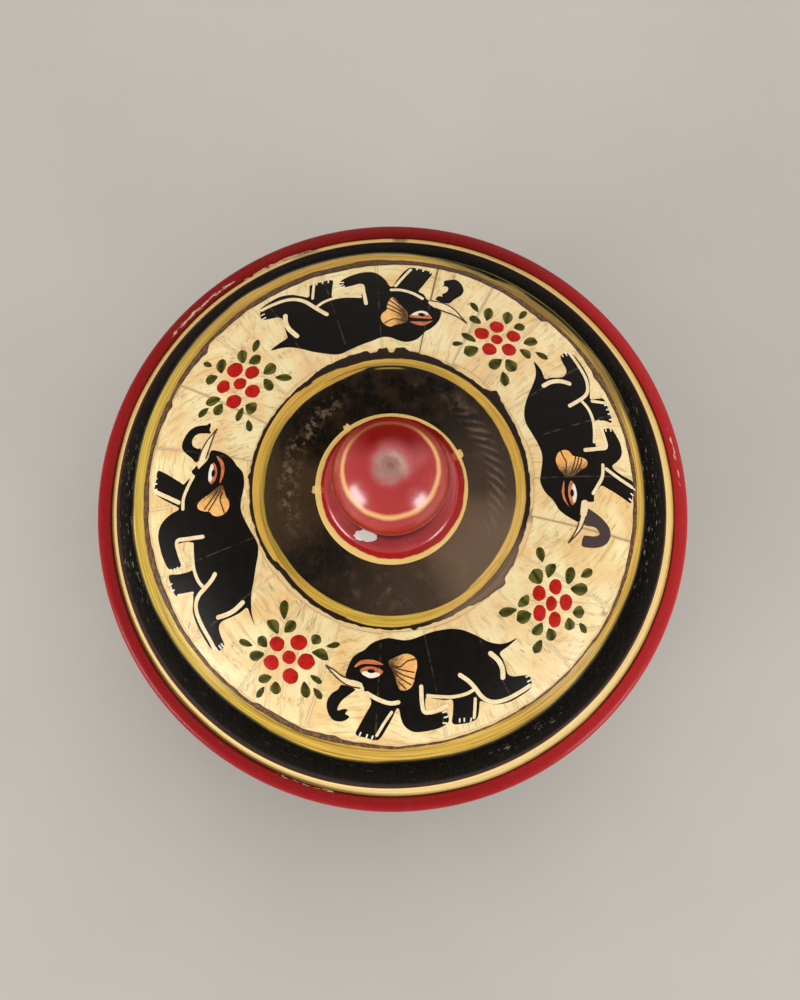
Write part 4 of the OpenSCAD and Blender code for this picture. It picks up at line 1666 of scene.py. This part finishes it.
# %% The elephant on the left
elephant(
    "elephant_left",
    body=[
        (225, 42.3), (222, 41.5), (219.5, 41), (219.2, 43), (218.4, 45.4), (217.7, 47.4),
        (218.2, 48.8), (220, 49.7), (222.3, 50.4), (222.9, 51.2), (222.6, 52.4), (221.6, 53),
        (220.7, 53.6), (218, 53.4), (214, 52.9), (211, 52.1), (208.6, 50.6), (207.2, 50.1),
        (206.6, 51.2), (205.9, 53.2), (205.2, 54.3), (202.5, 54.3), (200.3, 53.9), (201.2, 51),
        (201.6, 47.9), (199.5, 47.5), (196.5, 46.8), (194.3, 46.3), (193.8, 49.9), (196, 50),
        (199.2, 50.2), (199.4, 52), (198.8, 53.5), (196, 54.2), (193, 54.4), (190.5, 54.4),
        (188.3, 53.6), (186.8, 52.2), (185.6, 50.2), (184.9, 48.4), (184.2, 48.3), (183, 50),
        (181.6, 52.2), (180.2, 54.2), (179.4, 54.9), (176.5, 54.6), (174.3, 54.4), (174.8, 52.5),
        (176, 50.2), (177.4, 48), (178, 47), (176.8, 46), (175.6, 44.8), (174.3, 45.3),
        (173.4, 44.7), (172.6, 44.2), (173.4, 43.6), (171.5, 42.3), (169.8, 41.7), (167.6, 41.5),
        (167.3, 40), (167.6, 38.4), (168.4, 37), (169.6, 35.8), (171.3, 34.8), (172.3, 34),
        (173.6, 33.2), (176, 32.7), (179, 32.6), (182, 32.9), (184.7, 33.3), (187.5, 33.5),
        (190, 33.3), (194, 32.7), (197.5, 32.2), (201, 31.8), (204, 31.9), (207, 32.8),
        (210, 34.2), (213.5, 36), (216.5, 38), (219, 39.5), (222, 41.1),
    ],
    trunk=[
        (171.6, 44.3), (170.4, 46), (169.2, 47.8), (167.8, 49), (165.8, 49.1), (163.4, 48.5),
        (161.6, 47.2), (160.7, 45.6), (160.2, 44.5), (159.4, 44), (160.1, 43.5), (161.4, 43.4),
        (162.3, 42.8), (162.6, 43.6), (163.2, 45.6), (164.3, 46.6), (165.8, 46.8), (167.1, 46.2),
        (167.6, 45), (167.7, 44),
    ],
    tusk=(
        [(173.5, 43.7), (171, 44), (167.8, 43.7), (165, 43.1), (162.5, 42.3), (160.6, 41.7)],
        [(163, 41.9), (166.5, 42), (170.2, 42.3), (172.3, 42.9)],
    ),
    lines=[
        (
            0.95, (221.3, 52.9), (219, 52.4), (215.5, 52), (212, 51.4), (209.8, 50.4), (208.4, 48.8),
            (207.6, 46.6), (206.7, 44.6), (205.6, 43.2),
        ),
        (1.0, (216.2, 47.6), (217.2, 45.3), (217.6, 43.2), (217.4, 41)),
        (0.8, (207.6, 46.9), (205, 47.5), (201.5, 47.4), (198.5, 46.8), (195, 46.1)),
        (0.6, (207, 50), (205.7, 53.5)),
        (0.9, (200.2, 49.5), (196, 49.8), (193, 49.6), (193.2, 47), (193.9, 43.2)),
        (0.95, (182.9, 48.1), (181.2, 51), (179.4, 54.5)),
        (0.8, (184.8, 47.1), (182, 46.9), (179, 45.9), (175.8, 44.7)),
    ],
    ear=[
        (184.6, 43.5), (183.6, 43.1), (182.4, 41.9), (181, 40.2), (179.2, 38.6), (178.6, 37.6),
        (180, 37.1), (182.3, 36.7), (184.5, 36), (186.8, 36.2), (188.4, 37.3), (188.9, 38.8),
        (188.2, 40), (187, 40.7), (186.5, 42), (185.7, 43.2),
    ],
    folds=[
        [(188, 37.3), (185.5, 37.7), (183.5, 38), (181, 37.5)],
        [(186.6, 40.9), (184, 39.4), (180.5, 37.9)],
        [(186, 41.8), (183.8, 40.4), (180.6, 38.6)],
    ],
    eye=[
        (178.2, 40.2), (176.8, 40.9), (174.5, 41), (172.2, 40.8), (171.3, 40.1), (172.6, 39.4),
        (174.5, 39), (176.8, 39.3),
    ],
    pupil=(174.7, 39.9),
    brow=[
        (178, 38.2), (175.5, 37.5), (172.3, 37.5), (170, 38.4), (168.9, 39.8), (170, 39.4),
        (171.5, 38.6), (174, 38.1),
    ],
    nails=[
        (178.9, 54.5), (177.5, 54.6), (176.2, 54.7), (204, 54.3), (202.4, 54.3), (199.8, 51.2),
        (199.8, 52), (199.6, 53), (221.9, 52.6), (222.2, 51.6), (222.3, 50.9),
    ],
)

# %% The elephant at the bottom
elephant(
    "elephant_bottom",
    body=[
        (309.9, 42.6), (306.5, 42.8), (303.3, 42.9), (303, 44.5), (302.6, 46.2), (302.1, 47.9),
        (303, 49), (305, 50), (306.2, 50.8), (306.5, 51.8), (306, 52.8), (305.1, 53.7), (302, 53.8),
        (299, 53.6), (296.3, 52.8), (294.2, 51.5), (292.7, 50.4), (291.9, 51.6), (290.9, 53.4),
        (289.8, 54.1), (287.5, 54), (284.6, 53.2), (285.3, 50.8), (286, 48), (284, 47.5),
        (281.5, 46.7), (279.2, 46.1), (279, 49.8), (282.6, 49.9), (283.8, 50.4), (283.9, 52.2),
        (282.9, 53), (281.3, 53.5), (278.5, 53.7), (275.6, 53.6), (274, 52.9), (272.8, 51.6),
        (272.2, 50), (271.9, 48.2), (271.2, 48), (270.2, 49.8), (268.7, 52.4), (267.4, 54.6),
        (266.2, 55.4), (264, 55), (261.5, 54.5), (262, 52.5), (263.3, 49.5), (264.5, 46.8),
        (263.2, 45), (262.3, 44.4), (261.9, 43.6), (260.5, 42.6), (257.5, 42.4), (256.2, 42),
        (256.2, 40.6), (256.5, 39), (257.2, 37.6), (258.6, 36.5), (260.5, 35.6), (262, 34.4),
        (264, 33.5), (266.5, 32.9), (269, 32.6), (272, 32.9), (275, 33.2), (278, 33.1),
        (281, 32.8), (285, 32.5), (289, 32.7), (293, 33.3), (296.5, 34.6), (299.5, 36.8),
        (302, 39.4), (304.5, 41.2), (307, 42.1),
    ],
    trunk=[
        (259.6, 44.3), (258.5, 45.6), (257, 47), (256.2, 48.4), (256, 49.6), (256.4, 49.8),
        (257.5, 49.2), (258.6, 49.2), (258.2, 50.2), (259.3, 50.6), (258.6, 51.6), (257.2, 52.2),
        (255.6, 52.2), (254.2, 51.2), (253.2, 49.6), (253, 48), (253.7, 46.4), (255, 45.2), (255.8, 44),
    ],
    tusk=(
        [
            (261.6, 43.4), (260.9, 43.9), (258.5, 43.9), (256, 43.5), (253.5, 42.6), (251.5, 41.8),
            (249.7, 41),
        ],
        [(252.5, 41.4), (255, 42.1), (258, 42.4), (261, 42.7)],
    ),
    lines=[
        (
            0.95, (305.3, 53), (302, 52.9), (299, 52.7), (296.3, 52.1), (294.4, 50.9), (293.3, 49.2),
            (292.7, 47.2), (291.7, 45.1), (290, 43.2),
        ),
        (1.1, (300.5, 47.9), (301.6, 46), (301.7, 43.9), (300.8, 41.9)),
        (0.75, (292.6, 47.3), (290, 47.6), (286.5, 47.3), (283, 46.5), (279.8, 45.7)),
        (0.7, (291.7, 49.4), (289.9, 53.4)),
        (0.9, (284.2, 48.9), (281, 49.3), (278.4, 49.3), (278, 47), (278.4, 43.5)),
        (0.65, (269.9, 48.7), (268, 51.3), (266.4, 54.2)),
        (0.95, (271.7, 46.5), (269.5, 46.7), (266.5, 46), (263.1, 44.8)),
    ],
    ear=[
        (274, 43.9), (275.5, 43.4), (276.5, 42.2), (277.2, 40.6), (278, 39.2), (278.1, 37.6),
        (277, 36.6), (275, 36.1), (273, 36.3), (270.5, 36.9), (269, 37.4), (269.2, 38.4),
        (270.2, 39.4), (271, 41), (271.8, 43), (272.6, 43.9),
    ],
    folds=[
        [(277.8, 37.4), (275, 37.7), (272.5, 38.8), (269.5, 38.3)],
        [(276.8, 40.2), (273, 39.4), (269.8, 38.6)],
        [(276.6, 41.6), (273, 40.4), (270, 39)],
        [(275.5, 42.8), (272.6, 41.2), (270.5, 39.7)],
        [(274, 43.6), (272, 42)],
    ],
    eye=[
        (267.3, 39.9), (265.6, 41), (263.5, 41.4), (261.5, 41), (260.1, 40.1), (261.5, 39.2),
        (263.8, 38.9), (266, 39.2),
    ],
    pupil=(263.6, 39.9),
    brow=[
        (267.3, 38.3), (265, 37.6), (262.3, 37.5), (259.8, 38), (258.3, 39.3), (258.6, 39.6),
        (260.5, 38.7), (263, 38.4), (265.5, 38.4),
    ],
    nails=[
        (265.4, 54.7), (264.1, 54.5), (262.5, 54.2), (289, 53.6), (287.5, 53.1), (286.4, 52.9),
        (282.8, 52.6), (283.4, 51.3), (283.3, 50.1), (305.8, 52), (306.1, 50.9),
    ],
)

# %% [markdown]
# ## Sprays of berries, by rule
# Between the elephants stand four sprays: a berry in the middle, five about it, and leaves
# all round. Every leaf and berry is one dab of a loaded brush, so one rule makes them all. It
# starts from a flattened ball, draws it out, sharpens and bends it if it is a leaf, gives its
# edge a little wobble, and lays it on the dome. The points it starts from carry the numbers.

# %% The rule of the dabs
dabs = started(
    "dabs_of_paint",
    {
        "Body": ("NodeSocketFloat", 0.1),
        "Sharpness": ("NodeSocketFloat", 0.0),
        "Blunt": ("NodeSocketFloat", 0.0),
        "Wobble": ("NodeSocketFloat", 0.2),
        "Seed": ("NodeSocketInt", 5),
        "Paint": ("NodeSocketMaterial", None),
    },
)
ball = dabs.fed("GeometryNodeMeshUVSphere", {"Segments": 24, "Rings": 12, "Radius": 1.0}).outputs[0]
shape = one_on_each(dabs, dabs.source[0], ball)
u, v, w = dabs.parts(kept(dabs, "spot", "FLOAT_VECTOR"))
DAB_KEYS = ("angle", "r", "turned", "long", "wide", "bend", "tone")
angle, r, turned, long, wide, bend, tone = [Wire(dabs, kept(dabs, name)) for name in DAB_KEYS]
slim = (1 - u * u).at_least(0).do("POWER", number(dabs, "Sharpness")) * (u * number(dabs, "Blunt") + 1)
where = dabs.vector(u, v, tone * 37 + number(dabs, "Seed"))
wobble = dabs.fed("ShaderNodeTexNoise", {"Vector": where, "Scale": 1.2, "Detail": 1.0}).outputs[0]
wobble = (Wire(dabs, wobble) - 0.5) * number(dabs, "Wobble") + 1
forth = u * long * wobble * 0.5
aside = v * slim * wide * wobble * 0.5 + (1 - u * u) * bend
step_east = forth * turned.cos() - aside * turned.sin()
step_out = forth * turned.sin() + aside * turned.cos()
spot_r = r + step_out
leaning = ((spot_r - FLAT_R) / DOME_R).do("ARCSINE") * (180 / math.pi)
lift = w.at_least(0) * number(dabs, "Body") + w.at_most(0) * 0.03
shape = keep(dabs, shape, "spine", aside.size())
angle = angle + step_east / r * (180 / math.pi)
hand_out(dabs, wrapped(dabs, shape, angle, leaning, lift), "Paint")


def dab_points(name, rows):
    """A mesh of loose points, each with the numbers of its dab."""
    mesh = bpy.data.meshes.new(name)
    mesh.from_pydata([(0, 0, 0)] * len(rows), [], [])
    for key, values in zip(DAB_KEYS, zip(*rows)):
        carry(mesh, key, values)
    return mesh


# %% Berries
BERRIES = [
    (57.5, 45.2, 3.2, 3.4), (52, 45.6, 3.1, 3.3), (60.3, 41.6, 3.1, 3.5), (50.3, 42, 3.1, 3.4),
    (55.3, 39.1, 3.1, 3.4), (55.3, 42.3, 2.5, 2.8),
    (148, 45.4, 3.1, 3.4), (142, 45.6, 3.7, 3.9), (150.5, 41, 3.3, 3.7), (139.6, 41.7, 3.2, 3.4),
    (144.5, 38.6, 3.2, 3.6), (144.6, 42.2, 2.9, 3.1),
    (241.5, 46.5, 3.5, 3.6), (235.2, 46.2, 3.4, 3.5), (243.8, 42, 3.6, 3.8), (233.6, 42.1, 3.2, 3.4),
    (239, 39.2, 3.5, 3.8), (238.7, 43, 3, 3),
    (327, 45.8, 3, 3.6), (321.3, 46, 2.9, 3.6), (329, 42, 3, 3.5), (319.8, 42.4, 2.9, 3.7),
    (324.4, 39.6, 3, 3.5), (324.2, 43.2, 2.5, 3.3),
]
GOLDEN = 0.618
rows = []
for i, (a, r, slim_way, long_way) in enumerate(BERRIES):
    lying = math.radians(a if a > 300 else a + 90)
    rows.append((a, r, lying, long_way, slim_way, 0.0, i * GOLDEN % 1))
berry_paint = paint("paint_berry", colour(204, 32, 22), colour(164, 16, 12), 0.34, 0.1)
settled(
    "berries",
    dabs,
    {"Body": 0.13, "Wobble": 0.3, "Paint": berry_paint.material},
    dab_points("berry_points", rows),
    "lid_assembly",
)

# %% [markdown]
# Each leaf is given by its two ends, its width, and how far it bends to one side. The green is
# an olive that was laid on thin, so it is darker along the middle of the leaf, where the brush
# left more of it.

# %% Leaves
LEAVES = [
    (64.4, 46.5, 67.4, 48.3, 1.2, 0), (61, 45.3, 62.1, 49, 1.8, 0), (62, 44, 66, 44.3, 1.6, 0),
    (55.8, 47.3, 57.3, 50.8, 1.9, 0), (53.9, 50.7, 53.9, 54.1, 1.2, 0), (53.5, 47.6, 51.5, 49.9, 1.7, 0),
    (48.5, 45.7, 46.3, 49, 1.8, 0), (44.2, 46.2, 40.5, 47.4, 1.2, 0), (48, 43.8, 43.9, 43.9, 1.6, -0.4),
    (60.4, 39, 66, 39.3, 1.3, 0), (58.5, 37.9, 62, 35, 2.2, 0), (64.2, 37.1, 67.5, 35.9, 1, 0),
    (48.9, 39.6, 44, 38.8, 2.3, 0), (50, 38.8, 51.2, 35.3, 2, 0), (46.7, 36.7, 42.2, 34.6, 1.7, 0),
    (155.3, 46, 158.7, 47.4, 1.3, 0), (151.4, 44.3, 154.3, 47.2, 1.9, 0), (152.7, 43.3, 156.6, 43.6, 2, 0),
    (146.3, 48.3, 149, 50.3, 2, 0), (144.6, 51.4, 144.8, 54.2, 1.1, 0), (145, 48, 141.5, 50.5, 2, 0),
    (139, 45, 136.3, 48, 1.9, 0), (134.6, 45.2, 131, 47, 1.4, 0), (138, 43.9, 134.1, 43, 2, 0),
    (150.8, 38.3, 156, 38, 1.3, 0), (149.7, 38, 149.7, 35.2, 2.4, 0), (154, 35.8, 157.7, 34, 1.2, 0),
    (137.5, 39.3, 132.7, 38.7, 2.3, 0), (138.8, 38.3, 140, 35, 1.8, 0), (135.9, 36.6, 131.7, 33.7, 1.4, 0),
    (248.5, 46.6, 251.5, 48.4, 1.2, 0), (245.5, 46.2, 247.7, 49.3, 1.7, 0), (246.3, 44.3, 250.2, 45, 1.1, 0),
    (238.7, 49.2, 240.3, 51.9, 2, 0), (236.9, 51.7, 236.6, 55, 1.1, 0), (237.2, 48.8, 234.8, 51.3, 1.6, 0),
    (232.2, 45.6, 229.5, 48.3, 1.8, 0), (228.3, 45.9, 224.6, 47.3, 1.2, 0), (231.8, 44, 228, 43.5, 1.8, 0),
    (244, 39.6, 249.7, 39.5, 1.8, -0.5), (243.3, 38, 243.8, 35.6, 1.9, 0), (247.7, 37.2, 251.7, 35.6, 1, 0),
    (232, 40.3, 226.8, 39.3, 1.9, 0.5), (233.5, 39, 234.3, 35.7, 1.9, 0), (230.8, 36.9, 226.4, 33.7, 1.6, 0),
    (335.2, 46.2, 338.3, 48.2, 1.6, 0), (330.8, 45.2, 333.2, 49, 2.2, 0), (331.5, 44.3, 336.6, 43.3, 1.9, 0),
    (325.8, 48.5, 327.8, 50.8, 2.2, 0), (324.9, 51.2, 323.9, 54, 1.2, 0), (324, 48.3, 322, 50.5, 2, 0),
    (318.5, 46.2, 316.8, 48.8, 2, 0), (314.8, 46.7, 311, 47.8, 1.7, 0), (318.3, 44.2, 314, 44.2, 1.8, -0.4),
    (330, 39.5, 335, 39.5, 1.8, -0.4), (327.3, 38.8, 329.5, 35.6, 2.8, 0), (333.8, 36.8, 338, 34.7, 1.6, 0),
    (318, 41, 313.5, 39.5, 2.4, 0), (319.3, 39.2, 319.4, 37, 2.6, 0), (315.8, 38, 310.2, 35.9, 1.7, 0),
]
rows = []
for i, (a, r, end_a, end_r, width, bend) in enumerate(LEAVES):
    middle_r = (r + end_r) / 2
    run_east = math.radians(end_a - a) * middle_r
    run_out = end_r - r
    length = math.hypot(run_east, run_out)
    heading = math.atan2(run_out, run_east)
    rows.append(((a + end_a) / 2, middle_r, heading, length, width * 1.25, bend, i * GOLDEN % 1))
leaf_paint = paint("paint_leaf", colour(42, 42, 8), colour(78, 76, 20), 0.36, 0.08)
spine = carried(leaf_paint, "spine")
pale = leaf_paint.step(spine + carried(leaf_paint, "tone") * 0.5, 0.55, 1.25)
retint(leaf_paint, pale * 0.55, colour(126, 118, 56))
settled(
    "leaves",
    dabs,
    {"Body": 0.06, "Sharpness": 0.18, "Blunt": 0.3, "Wobble": 0.3, "Paint": leaf_paint.material},
    dab_points("leaf_points", rows),
    "lid_assembly",
)
print(len(BERRIES), "berries and", len(LEAVES), "leaves are painted")
